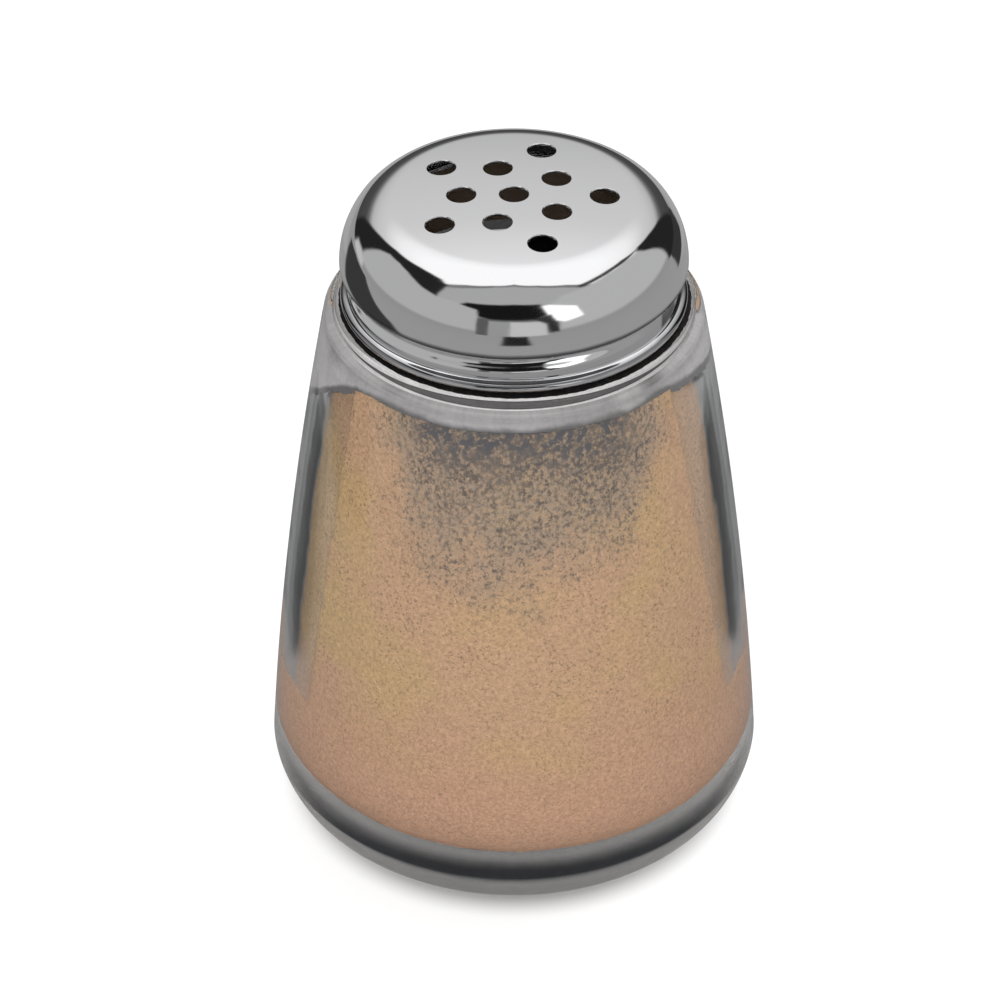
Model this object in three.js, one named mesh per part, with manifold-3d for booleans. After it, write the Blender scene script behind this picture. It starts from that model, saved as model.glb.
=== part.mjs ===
// A table shaker for ground spice: a heavy pressed-glass jar with a screw neck, the spice
// inside it, a soft sealing ring on the rim and a domed, chromed lid with eleven holes.
// Millimetres, +Z up. The origin is on the table, in the middle of the jar's standing ring.

import * as THREE from 'three';
import { mergeVertices } from 'three/addons/utils/BufferGeometryUtils.js';
import Module from 'manifold-3d';

const wasm = await Module();
wasm.setup();

// Jar, outside
const jarRadius = 41.3;
const footRadius = 34.3;
const standInnerRadius = 27;
const pushUpHeight = 2.4;
const heelHeight = 10;
const sideHeight = 84.1;
const sideBow = 1.16;
const shoulderRadius = 30.3;
const shoulderRise = 0.9;
const stepRadius = 28.6;
const stepHeight = 1.5;
const stepRound = 0.8;
const neckFillet = 0.6;
const lipRound = 1;
const heelPowerShare = 1.558;

// Jar, inside
const jarWall = 3;
const floorThickness = 8.9;
const innerCornerRadius = 12;
const innerShoulderHeight = 7;
const neckWall = 2.8;

// Screw thread: one start, the glass ridge outside the neck and the rolled ridge in the lid
const threadPitch = 3.2;
const neckThreadHeight = 1.2;
const neckThreadWidth = 1.5;
const neckThreadCrest = 0.6;
const lidThreadDepth = 0.9;
const lidThreadWidth = 1.3;
const lidThreadCrest = 0.5;
const neckThreadTurns = 1.6;
const neckThreadLead = 0.25;
const lidThreadTurns = 0.9;
const lidThreadRise = 2.3;
const threadFadeTurns = 0.12;

// Lid, pressed from sheet
const lidWall = 0.5;
const skirtRadius = 26.4;
const skirtHeight = 6.1;
const edgeCurlRadius = 0.8;
const creaseDepth = 0.12;
const creaseHeight = 0.5;
const tuckDepth = 1.05;
const tuckRise = 0.77;
const domeHeight = 11.28;
const domeReach = 8.65;
const crownRise = 0.62;

// Shaking holes: one in the middle and two rings of five
const holeRadius = 2.25;
const innerHoleRing = 8.2;
const outerHoleRing = 14.1;
const holesPerRing = 5;

// Sealing ring
const sealThickness = 1.4;
const sealInset = 0.2;
const sealRound = 0.3;

// Spice: level at the front, sliding down towards the back and more so on the left
const spiceBelowStep = 4.3;
const spiceDropLeft = 12.7;
const spiceDropRight = 4.7;

// Clearances
const lidEdgeGap = 0.5;
const threadClearance = 0.3;
const sealClearance = 0.3;
const spiceGap = 0.3;
const threadSink = 0.3;
const cutOverrun = 2;

// Facets
const roundSegments = 48;
const holeSegments = 14;
const cornerSteps = 5;
const weldDistance = 0.0005;

// Places worked out from the sizes above
const shoulderZ = heelHeight + sideHeight;
const shoulderTopZ = shoulderZ + shoulderRise;
const stepTopZ = shoulderTopZ + stepHeight;
const lidEdgeZ = stepTopZ + lidEdgeGap;
const skirtTopZ = lidEdgeZ + skirtHeight;
const equatorZ = skirtTopZ + tuckRise;
const domeTopZ = equatorZ + domeHeight;
const lidTopZ = domeTopZ + crownRise;
const skirtInnerRadius = skirtRadius - lidWall;
const equatorRadius = skirtRadius + tuckDepth;
const crownRadius = equatorRadius - domeReach;
const neckRadius = skirtInnerRadius - threadClearance - neckThreadHeight;
const mouthRadius = neckRadius - neckWall;
const sealOuterRadius = neckRadius - sealInset;
const sealInnerRadius = mouthRadius + sealInset;
const spiceTopZ = stepTopZ - spiceBelowStep - stepHeight;
const halfTurn = Math.PI;
const quarterTurn = Math.PI / 2;

const point = (radius, height) => new THREE.Vector2(radius, height);

// Points on a quarter of an oval, from its side to its top or bottom
function ovalPoints(centreRadius, centreZ, reach, rise, startAngle, endAngle, steps) {
  const points = [];
  for (let i = 0; i <= steps; i += 1) {
    const angle = startAngle + ((endAngle - startAngle) * i) / steps;
    points.push(point(centreRadius + reach * Math.cos(angle), centreZ + rise * Math.sin(angle)));
  }
  return points;
}

function bezierPoints(start, startHandle, endHandle, end, steps) {
  return new THREE.CubicBezierCurve(start, startHandle, endHandle, end).getPoints(steps);
}

// Moves an outline sideways, to the left of the way it runs, keeping its corners sharp
function offsetOutline(points, distance) {
  const sides = [];
  for (let i = 1; i < points.length; i += 1) {
    const along = points[i].clone().sub(points[i - 1]).normalize();
    sides.push(point(-along.y, along.x));
  }
  return points.map((corner, i) => {
    const before = sides[Math.max(i - 1, 0)];
    const after = sides[Math.min(i, sides.length - 1)];
    const mitre = before.clone().add(after).normalize();
    const moved = corner.clone().addScaledVector(mitre, distance / mitre.dot(before));
    return point(Math.max(moved.x, 0), moved.y);
  });
}

// Radius of an outline at a height, for a stretch whose height keeps rising
function radiusAt(outline, height) {
  for (let i = 1; i < outline.length; i += 1) {
    const low = outline[i - 1];
    const high = outline[i];
    if (height <= high.y) {
      const share = Math.max(height - low.y, 0) / (high.y - low.y);
      return low.x + (high.x - low.x) * share;
    }
  }
  return outline[outline.length - 1].x;
}

// Turns a profile of radius and height round the upright axis
function turned(profile) {
  const geometry = new THREE.LatheGeometry(profile, roundSegments);
  geometry.rotateX(quarterTurn);
  return geometry;
}

function toSolid(geometry) {
  const bare = geometry.clone();
  bare.deleteAttribute('normal');
  bare.deleteAttribute('uv');
  const merged = mergeVertices(bare, weldDistance);
  const corners = merged.index.array;
  const kept = [];
  for (let i = 0; i < corners.length; i += 3) {
    const [a, b, c] = [corners[i], corners[i + 1], corners[i + 2]];
    if (a !== b && b !== c && c !== a) kept.push(a, b, c);
  }
  return new wasm.Manifold(new wasm.Mesh({
    numProp: 3,
    vertProperties: new Float32Array(merged.attributes.position.array),
    triVerts: new Uint32Array(kept),
  }));
}

function toGeometry(solid) {
  const mesh = solid.getMesh();
  const geometry = new THREE.BufferGeometry();
  geometry.setAttribute('position', new THREE.BufferAttribute(mesh.vertProperties, mesh.numProp));
  geometry.setIndex(new THREE.BufferAttribute(mesh.triVerts, 1));
  geometry.computeVertexNormals();
  return geometry;
}

// A ridge that climbs round the axis like a screw thread and fades out at both ends.
// facing is 1 for a ridge that stands outwards and -1 for one that stands inwards.
function screwRidge({ facing, wallRadius, height, width, crest, sink, turns, startTurn, startZ }) {
  const steps = Math.round(turns * roundSegments);
  const fadeSteps = threadFadeTurns * roundSegments;
  const leastShare = 0.05;
  const positions = [];
  const corners = [];
  for (let step = 0; step <= steps; step += 1) {
    const fade = Math.min(1, Math.max(leastShare, Math.min(step, steps - step) / fadeSteps));
    const section = [
      [-sink, -width / 2],
      [0, -width / 2],
      [height * fade, -crest / 2],
      [height * fade, crest / 2],
      [0, width / 2],
      [-sink, width / 2],
    ];
    const climbed = step / roundSegments;
    const angle = 2 * Math.PI * (startTurn + climbed);
    const z = startZ + threadPitch * climbed;
    for (const [out, up] of section) {
      const radius = wallRadius + facing * out;
      positions.push(radius * Math.cos(angle), radius * Math.sin(angle), z + facing * up);
    }
  }
  const around = 6;
  for (let step = 0; step < steps; step += 1) {
    for (let side = 0; side < around; side += 1) {
      const a = step * around + side;
      const b = step * around + ((side + 1) % around);
      const c = b + around;
      const d = a + around;
      corners.push(a, d, b, b, d, c);
    }
  }
  const last = steps * around;
  for (let side = 1; side < around - 1; side += 1) {
    corners.push(0, side, side + 1);
    corners.push(last, last + side + 1, last + side);
  }
  const geometry = new THREE.BufferGeometry();
  geometry.setAttribute('position', new THREE.Float32BufferAttribute(positions, 3));
  geometry.setIndex(corners);
  return geometry;
}

// Lid: the outside of the sheet, from the middle of the crown down to the curled edge
function lidOutside() {
  const crownSteps = 3;
  const points = [];
  for (let i = 0; i < crownSteps; i += 1) {
    const share = i / crownSteps;
    points.push(point(crownRadius * share, lidTopZ - crownRise * share ** 2));
  }
  const crownSlope = (2 * crownRise) / crownRadius;
  const startReach = domeReach * 0.68;
  const endRise = domeHeight * 0.415;
  points.push(...bezierPoints(
    point(crownRadius, domeTopZ),
    point(crownRadius + startReach, domeTopZ - startReach * crownSlope),
    point(equatorRadius, equatorZ + endRise),
    point(equatorRadius, equatorZ),
    8,
  ));
  const tuck = ovalPoints(skirtRadius, equatorZ, tuckDepth, tuckRise, 0, -quarterTurn, 3);
  points.push(...tuck.slice(1));
  return points;
}

const curlZ = lidEdgeZ + edgeCurlRadius;
const curlRadius = skirtInnerRadius + edgeCurlRadius;
const curlEndAngle = Math.PI / 3;
const lidOuterLine = lidOutside();
const lidInnerLine = offsetOutline(lidOuterLine, -lidWall);

function lidShell() {
  const inner = lidInnerLine.slice(0, -1);
  const innerTuckZ = lidInnerLine[lidInnerLine.length - 1].y;
  const creaseZ = curlZ + edgeCurlRadius * Math.sin(curlEndAngle) + creaseHeight;
  const profile = [
    point(0, inner[0].y),
    ...inner.slice(1),
    point(skirtInnerRadius, innerTuckZ),
    ...ovalPoints(curlRadius, curlZ, edgeCurlRadius, edgeCurlRadius, -halfTurn, curlEndAngle, 6),
    point(skirtRadius - creaseDepth, creaseZ),
    point(skirtRadius, creaseZ + creaseHeight),
    ...lidOuterLine.slice().reverse(),
  ];
  return turned(profile);
}

function lidHole(radius, angle) {
  const depth = 2 * (crownRise + lidWall + cutOverrun);
  const geometry = new THREE.CylinderGeometry(holeRadius, holeRadius, depth, holeSegments);
  geometry.rotateX(quarterTurn);
  geometry.translate(radius * Math.cos(angle), radius * Math.sin(angle), lidTopZ);
  return geometry;
}

function lidHoles() {
  const holes = [lidHole(0, 0)];
  for (let i = 0; i < holesPerRing; i += 1) {
    const angle = (2 * Math.PI * i) / holesPerRing;
    holes.push(lidHole(innerHoleRing, halfTurn + angle));
    holes.push(lidHole(outerHoleRing, angle));
  }
  return holes;
}

const lidThreadZ = lidEdgeZ + lidThreadRise;
const lidThread = {
  facing: -1,
  height: lidThreadDepth,
  width: lidThreadWidth,
  crest: lidThreadCrest,
  turns: lidThreadTurns,
  startTurn: 0,
  startZ: lidThreadZ,
};

function perforatedLid() {
  const ridge = screwRidge({ ...lidThread, wallRadius: skirtInnerRadius, sink: lidWall / 2 });
  const groove = screwRidge({ ...lidThread, wallRadius: skirtRadius, sink: cutOverrun });
  let lid = toSolid(lidShell()).add(toSolid(ridge)).subtract(toSolid(groove));
  for (const hole of lidHoles()) lid = lid.subtract(toSolid(hole));
  return toGeometry(lid);
}

// The neck's rim stands under the dome, with the sealing ring between them
const domeInnerRising = lidInnerLine.slice().reverse();
function domeInnerZ(radius) {
  for (let i = 1; i < domeInnerRising.length; i += 1) {
    const outer = domeInnerRising[i - 1];
    const inner = domeInnerRising[i];
    if (inner.x <= radius && radius <= outer.x && inner.y > equatorZ) {
      const share = (outer.x - radius) / (outer.x - inner.x);
      return outer.y + (inner.y - outer.y) * share;
    }
  }
  return domeTopZ;
}
const sealTopZ = domeInnerZ(sealOuterRadius) - sealClearance;
const sealBottomZ = sealTopZ - sealThickness;
const rimZ = sealBottomZ - sealClearance;

// Jar: the side between the heel and the shoulder is a straight taper with a slight bow
function sideRadius(z) {
  const share = (z - heelHeight) / sideHeight;
  const straight = jarRadius + (shoulderRadius - jarRadius) * share;
  return straight + 4 * sideBow * share * (1 - share);
}

function heelPoints(steps) {
  const points = [];
  for (let i = 0; i <= steps; i += 1) {
    const angle = (quarterTurn * i) / steps;
    const out = Math.sin(angle) ** (2 / heelPowerShare);
    const down = Math.max(Math.cos(angle), 0) ** (2 / heelPowerShare);
    points.push(point(footRadius + (jarRadius - footRadius) * out, heelHeight * (1 - down)));
  }
  return points;
}

function pushUpPoints(steps) {
  const points = [];
  for (let i = 0; i <= steps; i += 1) {
    const share = i / steps;
    points.push(point(standInnerRadius * share, pushUpHeight * (1 - share ** 2)));
  }
  return points;
}

function sidePoints(lowZ, highZ, steps, inset) {
  const points = [];
  for (let i = 0; i <= steps; i += 1) {
    const z = lowZ + ((highZ - lowZ) * i) / steps;
    points.push(point(sideRadius(z) - inset, z));
  }
  return points;
}

// Inside of the jar, from the middle of the floor up to the mouth
function jarInside() {
  const cornerZ = floorThickness + innerCornerRadius;
  const wallTopZ = shoulderTopZ + shoulderRise - innerShoulderHeight;
  const cornerCentre = sideRadius(cornerZ) - jarWall - innerCornerRadius;
  const wallTopRadius = sideRadius(wallTopZ) - jarWall;
  const neckBaseZ = wallTopZ + innerShoulderHeight;
  const handle = innerShoulderHeight / 2;
  return [
    point(0, floorThickness),
    ...ovalPoints(cornerCentre, cornerZ, innerCornerRadius, innerCornerRadius, -quarterTurn, 0, cornerSteps),
    ...sidePoints(cornerZ, wallTopZ, 4, jarWall).slice(1),
    ...bezierPoints(
      point(wallTopRadius, wallTopZ),
      point(wallTopRadius, wallTopZ + handle),
      point(mouthRadius, neckBaseZ - handle),
      point(mouthRadius, neckBaseZ),
      5,
    ).slice(1),
  ];
}

const insideLine = jarInside();

function jarBody() {
  const shoulderReach = shoulderRadius - stepRadius;
  const stepCentreRadius = stepRadius - stepRound;
  const stepRoundZ = stepTopZ - stepRound;
  const filletRadius = neckRadius + neckFillet;
  const outerLipRadius = neckRadius - lipRound;
  const innerLip = lipRound / 2;
  const innerLipRadius = mouthRadius + innerLip;
  const profile = [
    ...pushUpPoints(3),
    ...heelPoints(6),
    ...sidePoints(heelHeight, shoulderZ, 5, 0).slice(1),
    ...ovalPoints(stepRadius, shoulderZ, shoulderReach, shoulderRise, 0, quarterTurn, 3).slice(1),
    ...ovalPoints(stepCentreRadius, stepRoundZ, stepRound, stepRound, 0, quarterTurn, 3),
    ...ovalPoints(filletRadius, stepTopZ + neckFillet, -neckFillet, -neckFillet, quarterTurn, 0, 2),
    ...ovalPoints(outerLipRadius, rimZ - lipRound, lipRound, lipRound, 0, quarterTurn, 3),
    ...ovalPoints(innerLipRadius, rimZ - innerLip, -innerLip, innerLip, quarterTurn, 0, 2),
    ...insideLine.slice().reverse(),
  ];
  return turned(profile);
}

function glassJar() {
  const ridge = screwRidge({
    facing: 1,
    wallRadius: neckRadius,
    height: neckThreadHeight,
    width: neckThreadWidth,
    crest: neckThreadCrest,
    sink: threadSink,
    turns: neckThreadTurns,
    startTurn: -neckThreadLead,
    startZ: lidThreadZ + threadPitch * (1 / 2 - neckThreadLead),
  });
  return toGeometry(toSolid(jarBody()).add(toSolid(ridge)));
}

// Sealing ring: a flat soft washer with eased corners
function sealingRing() {
  const low = sealBottomZ;
  const high = sealTopZ;
  const profile = [
    point(sealInnerRadius, low),
    point(sealOuterRadius - sealRound, low),
    point(sealOuterRadius, low + sealRound),
    point(sealOuterRadius, high - sealRound),
    point(sealOuterRadius - sealRound, high),
    point(sealInnerRadius, high),
    point(sealInnerRadius, low),
  ];
  return toGeometry(toSolid(turned(profile)));
}

// Spice: a turned filling inside the glass, whose top then slides down to its natural slope
const spiceLine = offsetOutline(insideLine, spiceGap);

function spiceSurfaceZ(x, y) {
  const width = radiusAt(spiceLine.slice(1), spiceTopZ);
  const slopeStartShare = -0.7;
  const slopeEndShare = 0.15;
  const run = (y / width - slopeStartShare) / (slopeEndShare - slopeStartShare);
  const held = Math.min(1, Math.max(0, run));
  const eased = held * held * (3 - 2 * held);
  const middleDrop = (spiceDropLeft + spiceDropRight) / 2;
  const drop = middleDrop + ((spiceDropRight - spiceDropLeft) / 2) * (x / width);
  return spiceTopZ - drop * eased;
}

function spiceFill() {
  const wallLine = spiceLine.slice(1);
  const cornerPoints = wallLine.slice(0, cornerSteps + 1);
  const cornerTopZ = cornerPoints[cornerPoints.length - 1].y;
  const topRadius = radiusAt(wallLine, spiceTopZ);
  const wallRows = 5;
  const topRings = 4;
  const wall = [];
  for (let i = 1; i <= wallRows; i += 1) {
    const z = cornerTopZ + ((spiceTopZ - cornerTopZ) * i) / wallRows;
    wall.push(point(radiusAt(wallLine, z), z));
  }
  const top = [];
  for (let i = 1; i <= topRings; i += 1) top.push(point(topRadius * (1 - i / topRings), spiceTopZ));
  const profile = [point(0, spiceLine[0].y), ...cornerPoints, ...wall, ...top];
  const geometry = turned(profile);
  const place = geometry.attributes.position;
  const firstWall = 1 + cornerPoints.length;
  const firstTop = firstWall + wall.length;
  for (let i = 0; i < place.count; i += 1) {
    const row = i % profile.length;
    if (row < firstWall) continue;
    const column = Math.floor(i / profile.length);
    const angle = (2 * Math.PI * column) / roundSegments - quarterTurn;
    let edgeZ = spiceTopZ;
    for (let pass = 0; pass < 4; pass += 1) {
      const edge = radiusAt(wallLine, edgeZ);
      edgeZ = spiceSurfaceZ(edge * Math.cos(angle), edge * Math.sin(angle));
    }
    let radius;
    let z;
    if (row < firstTop) {
      const share = (profile[row].y - cornerTopZ) / (spiceTopZ - cornerTopZ);
      z = cornerTopZ + (edgeZ - cornerTopZ) * share;
      radius = radiusAt(wallLine, z);
    } else {
      radius = (radiusAt(wallLine, edgeZ) * profile[row].x) / topRadius;
      z = spiceSurfaceZ(radius * Math.cos(angle), radius * Math.sin(angle));
    }
    place.setXYZ(i, radius * Math.cos(angle), radius * Math.sin(angle), z);
  }
  return toGeometry(toSolid(geometry));
}

// Finishes
const clearGlass = new THREE.MeshStandardMaterial({
  color: 0xdfe5e6,
  roughness: 0.04,
  metalness: 0,
  transparent: true,
  opacity: 0.35,
});
const chromedSteel = new THREE.MeshStandardMaterial({ color: 0xc9cacd, roughness: 0.08, metalness: 1 });
const darkSeal = new THREE.MeshStandardMaterial({ color: 0x38383a, roughness: 0.6, metalness: 0 });
const groundSpice = new THREE.MeshStandardMaterial({ color: 0xb9946f, roughness: 0.95, metalness: 0 });

const group = new THREE.Group();

function addPiece(name, geometry, material) {
  const mesh = new THREE.Mesh(geometry, material);
  mesh.name = name;
  group.add(mesh);
}

addPiece('glass_jar', glassJar(), clearGlass);
addPiece('spice_fill', spiceFill(), groundSpice);
addPiece('sealing_ring', sealingRing(), darkSeal);
addPiece('perforated_lid', perforatedLid(), chromedSteel);

export default group;
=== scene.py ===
"""A glass table shaker of ground spice with a domed, chromed, pierced screw lid."""

import math

import bmesh
import bpy
import numpy as np
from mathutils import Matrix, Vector


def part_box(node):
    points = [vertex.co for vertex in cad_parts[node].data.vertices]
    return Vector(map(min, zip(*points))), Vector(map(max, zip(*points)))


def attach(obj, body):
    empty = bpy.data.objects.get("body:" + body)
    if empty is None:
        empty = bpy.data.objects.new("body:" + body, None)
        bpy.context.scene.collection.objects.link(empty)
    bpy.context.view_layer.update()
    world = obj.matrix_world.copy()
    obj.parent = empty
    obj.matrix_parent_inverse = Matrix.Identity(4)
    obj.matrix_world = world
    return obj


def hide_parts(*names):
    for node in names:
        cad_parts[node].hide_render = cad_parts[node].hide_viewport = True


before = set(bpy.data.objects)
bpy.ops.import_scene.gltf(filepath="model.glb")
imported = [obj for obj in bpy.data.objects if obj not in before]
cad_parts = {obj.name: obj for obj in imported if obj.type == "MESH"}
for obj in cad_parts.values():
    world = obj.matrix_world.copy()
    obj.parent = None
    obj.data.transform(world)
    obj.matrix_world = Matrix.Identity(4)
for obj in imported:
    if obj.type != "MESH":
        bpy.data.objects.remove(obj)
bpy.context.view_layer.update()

bl_info = {
    "name": "Spice Shaker",
    "version": (1, 0, 0),
    "blender": (4, 5, 0),
    "location": "View3D > Sidebar > Shaker",
    "description": "Builds a glass spice shaker with a pierced screw lid, piece by piece",
    "category": "Add Mesh",
}

MM = 0.001
JAR_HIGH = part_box("glass_jar")[1]
LID_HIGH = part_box("perforated_lid")[1]
SEAL_LOW, SEAL_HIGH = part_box("sealing_ring")
SPICE_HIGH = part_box("spice_fill")[1]
# Values that meshes carry at their points
THREAD_WALL = "thread_wall"
GLASS_SIDE = "glass_side"
ABOVE_SPICE = "above_spice"
GLOW = "glow"
QUARTER = math.pi / 2
FULL_TURN = 2 * math.pi
AIM_HEIGHT = 0.06
MERGE = 0.002 * MM
DRILL_ROWS = 18
# Rows of the spice's side, points from its edge to its middle, and rows of the dust on the glass
SIDE_ROWS = 90
TOP_STEPS = 34
DUST_ROWS = 30
# Tries until the spice's edge settles, and rows of the jar's corner that its side starts from
EDGE_TRIES = 6
CORNER_LAP = 4
# The stage: its floor's edge and level, and the painted dome's columns and reach
FLOOR_RADIUS, FLOOR_CORNERS, FLOOR_LEVEL = 4.0, 64, -0.05 * MM
STUDIO_COLUMNS, STUDIO_RADIUS = 240, 1.5
WHITE = (1.0, 1.0, 1.0, 1.0)
# Rings of painted highlight and painted shade in the dust under the neck: where each starts and
# ends, and what it makes of the paleness
GLINT_AND_SHADE_RINGS = (
    (91.9 * MM, 92.1 * MM, 2.3),
    (92.78 * MM, 92.85 * MM, 0.1),
    (92.89 * MM, 92.96 * MM, 2.0),
)
# Creases of the lid where the chrome is darker: height, reach up and down, and the share of
# darkening there
CREASES = ((103.6 * MM, 0.95 * MM, 0.97), (98.35 * MM, 0.45 * MM, 0.75))


def length(name, size, description):
    """A size that the sidebar shows as a length."""
    return bpy.props.FloatProperty(
        name=name, description=description, default=size, min=0.0, precision=5, unit="LENGTH"
    )


def count(name, number, description):
    """A number of like things."""
    return bpy.props.IntProperty(name=name, description=description, default=number, min=1)


def amount(name, value, description):
    """A bare number without a unit."""
    return bpy.props.FloatProperty(name=name, description=description, default=value, precision=4)


def colour(name, red, green, blue, description):
    """A surface colour."""
    return bpy.props.FloatVectorProperty(
        name=name,
        description=description,
        default=(red, green, blue),
        size=3,
        min=0.0,
        max=1.0,
        subtype="COLOR",
    )


class JarSizes(bpy.types.PropertyGroup):
    """The pressed glass jar."""

    radius: length("Widest radius", JAR_HIGH.x, "Radius at the top of the heel")
    foot_radius: length("Foot radius", 34.3 * MM, "Outer radius of the standing ring")
    ring_radius: length("Push-up radius", 27 * MM, "Radius of the hollow under the base")
    push_up: length("Push-up height", 2.4 * MM, "Height of the hollow under the base")
    heel_height: length("Heel height", 10 * MM, "Height of the rounded heel")
    heel_power: amount("Heel fullness", 1.558, "Power of the heel's curve: 2 is an ellipse")
    side_height: length("Side height", 84.1 * MM, "Height of the tapered side above the heel")
    side_bow: length("Side bow", 1.16 * MM, "How far the side bulges from a straight taper")
    shoulder_radius: length("Shoulder radius", 30.3 * MM, "Radius at the top of the side")
    shoulder_rise: length("Shoulder rise", 0.9 * MM, "Height of the rounded shoulder")
    step_radius: length("Step radius", 28.6 * MM, "Radius of the step under the lid")
    step_height: length("Step height", 1.5 * MM, "Height of the step under the lid")
    step_round: length("Step rounding", 0.8 * MM, "Radius of the step's top edge")
    neck_radius: length("Neck radius", 24.4 * MM, "Outer radius of the neck inside the lid")
    neck_fillet: length("Neck fillet", 0.6 * MM, "Radius where the neck meets the step")
    lip_round: length("Lip rounding", 1.0 * MM, "Radius of the rim's outer edge")
    rim_height: length("Rim height", JAR_HIGH.z, "Height of the neck's rim")
    neck_wall: length("Neck wall", 2.8 * MM, "Thickness of the neck")
    wall: length("Wall", 3 * MM, "Thickness of the glass side")
    floor: length("Floor", 8.9 * MM, "Height of the inside floor")
    corner: length("Inside corner", 12 * MM, "Radius between the inside floor and wall")
    inner_shoulder: length("Inside shoulder", 7 * MM, "Height of the curve up to the mouth")
    segments: count("Segments", 192, "Facets round the jar")


class LidSizes(bpy.types.PropertyGroup):
    """The lid, pressed from one sheet."""

    top: length("Top", LID_HIGH.z, "Height of the crown's middle")
    wall: length("Sheet", 0.5 * MM, "Thickness of the sheet")
    skirt_radius: length("Skirt radius", 26.4 * MM, "Outer radius of the skirt")
    equator_radius: length("Widest radius", 27.45 * MM, "Radius of the dome at its widest")
    equator: length("Widest height", 103.87 * MM, "Height at which the dome is widest")
    crown_radius: length("Crown radius", 18.8 * MM, "Radius of the nearly flat crown")
    crown_rise: length("Crown rise", 0.62 * MM, "How much the crown swells in the middle")
    start_handle: length("Shoulder handle", 5.88 * MM, "Fullness of the dome at the crown")
    end_handle: length("Side handle", 4.68 * MM, "Fullness of the dome at its widest")
    tuck_rise: length("Tuck", 0.77 * MM, "Height of the tuck between dome and skirt")
    tuck_fillet: length("Tuck fillet", 0.3 * MM, "Radius at the root of the tuck")
    edge: length("Edge", 97.0 * MM, "Height of the lid's lower edge")
    curl: length("Curl", 0.8 * MM, "Radius of the curled edge")
    crease_depth: length("Crease depth", 0.12 * MM, "Depth of the line above the curl")
    crease_height: length("Crease height", 0.5 * MM, "Half height of the line above the curl")
    segments: count("Segments", 192, "Facets round the lid")


class HoleSizes(bpy.types.PropertyGroup):
    """The shaking holes in the crown."""

    radius: length("Hole radius", 2.25 * MM, "Radius of each shaking hole")
    inner_ring: length("Inner ring", 8.2 * MM, "Radius of the inner ring of holes")
    outer_ring: length("Outer ring", 14.1 * MM, "Radius of the outer ring of holes")
    per_ring: count("Holes per ring", 5, "Holes on each ring")
    rim_round: length("Rim rounding", 0.16 * MM, "Rounding of each hole's edges")
    segments: count("Segments", 40, "Facets round each hole")


class ThreadSizes(bpy.types.PropertyGroup):
    """The screw thread that the neck and the lid share."""

    pitch: length("Pitch", 3.2 * MM, "Rise in one turn")
    fade: amount("Fade", 0.12, "Turns over which each end of a ridge dies away")
    row: length("Row", 0.08 * MM, "Height of the mesh rows across a thread")
    neck_height: length("Neck ridge height", 1.2 * MM, "How far the glass ridge stands out")
    neck_width: length("Neck ridge width", 1.5 * MM, "Width of the glass ridge at its root")
    neck_crest: length("Neck ridge crest", 0.6 * MM, "Width of the glass ridge at its top")
    neck_start: length("Neck ridge start", 100.1 * MM, "Height of the start of the glass ridge")
    neck_lead: amount("Neck ridge lead", 0.25, "Turns by which the glass ridge starts early")
    neck_turns: amount("Neck ridge turns", 1.6, "Turns of the glass ridge")
    lid_depth: length("Lid groove depth", 0.85 * MM, "Depth of the thread rolled into the skirt")
    lid_above: length("Groove above", 0.75 * MM, "Height of the rolled thread above its floor")
    lid_below: length("Groove below", 1.7 * MM, "Height of the rolled thread below its floor")
    lid_crest: length("Lid groove floor", 0.1 * MM, "Width of the rolled thread's floor")
    lid_start: length("Lid groove start", 99.5 * MM, "Height of the start of the rolled thread")
    lid_turns: amount("Lid groove turns", 0.9, "Turns of the rolled thread")


class FillSizes(bpy.types.PropertyGroup):
    """The ground spice and the sealing ring."""

    gap: length("Gap", 0.3 * MM, "Air between the spice and the glass")
    press: length("Press", 0.4 * MM, "How deep packed spice sits in the glass, so no air shows")
    packed: length("Packed height", 30 * MM, "Height below which the spice is packed all round")
    packed_wave: length("Packed wave", 3.2 * MM, "How far that height wanders round the jar")
    packed_rise: length("Packed rise", 75 * MM, "How much higher it is at the front and back")
    packed_share: amount("Packed share", 0.45, "Cosine of twice the angle where it is half")
    dust_high: length("Dust height", 93.4 * MM, "How high dust clings above the spice")
    dust_lap: length("Dust lap", 0.9 * MM, "How far the dust reaches down over the spice's edge")
    dust_skin: length("Dust thickness", 0.12 * MM, "Thickness of the dust on the glass")
    # A painted shadow lies as a dark ring on the step under the lid's edge: its sizes
    grime_low: length("Grime start", 25.6 * MM, "Inner radius of the ring under the lid")
    crevice_shadow_sides: length("Grime at the sides", 0.3 * MM, "How much wider it is at both sides")
    crevice_shadow_skew: length("Grime skew", 0.15 * MM, "How much wider it is on the right")
    crevice_shadow_high: length("Grime end", 27.65 * MM, "Outer radius of that ring")
    top: length("Top", SPICE_HIGH.z, "Height of the spice at the front")
    drop_left: length("Drop on the left", 12.7 * MM, "How far the top falls at the left back")
    drop_right: length("Drop on the right", 4.7 * MM, "How far it falls at the right back")
    slope_start: amount("Slope start", -0.7, "Where the slope starts, as a share of the radius")
    slope_end: amount("Slope end", 0.15, "Where the slope ends, as a share of the radius")
    columns: count("Columns", 320, "Facets round the spice")
    lump_size: length("Lump size", 4.0 * MM, "Size of the soft lumps")
    lump_depth: length("Lump depth", 0.16 * MM, "Depth between the soft lumps")
    grain_size: length("Grain size", 1.1 * MM, "Size of the coarse grains")
    grain_depth: length("Grain depth", 0.14 * MM, "Depth between the coarse grains")
    seal_inner: length("Ring bore", 21.8 * MM, "Inner radius of the sealing ring")
    seal_outer: length("Ring radius", SEAL_HIGH.x, "Outer radius of the sealing ring")
    seal_round: length("Ring rounding", 0.3 * MM, "Rounding of the sealing ring's edges")


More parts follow.
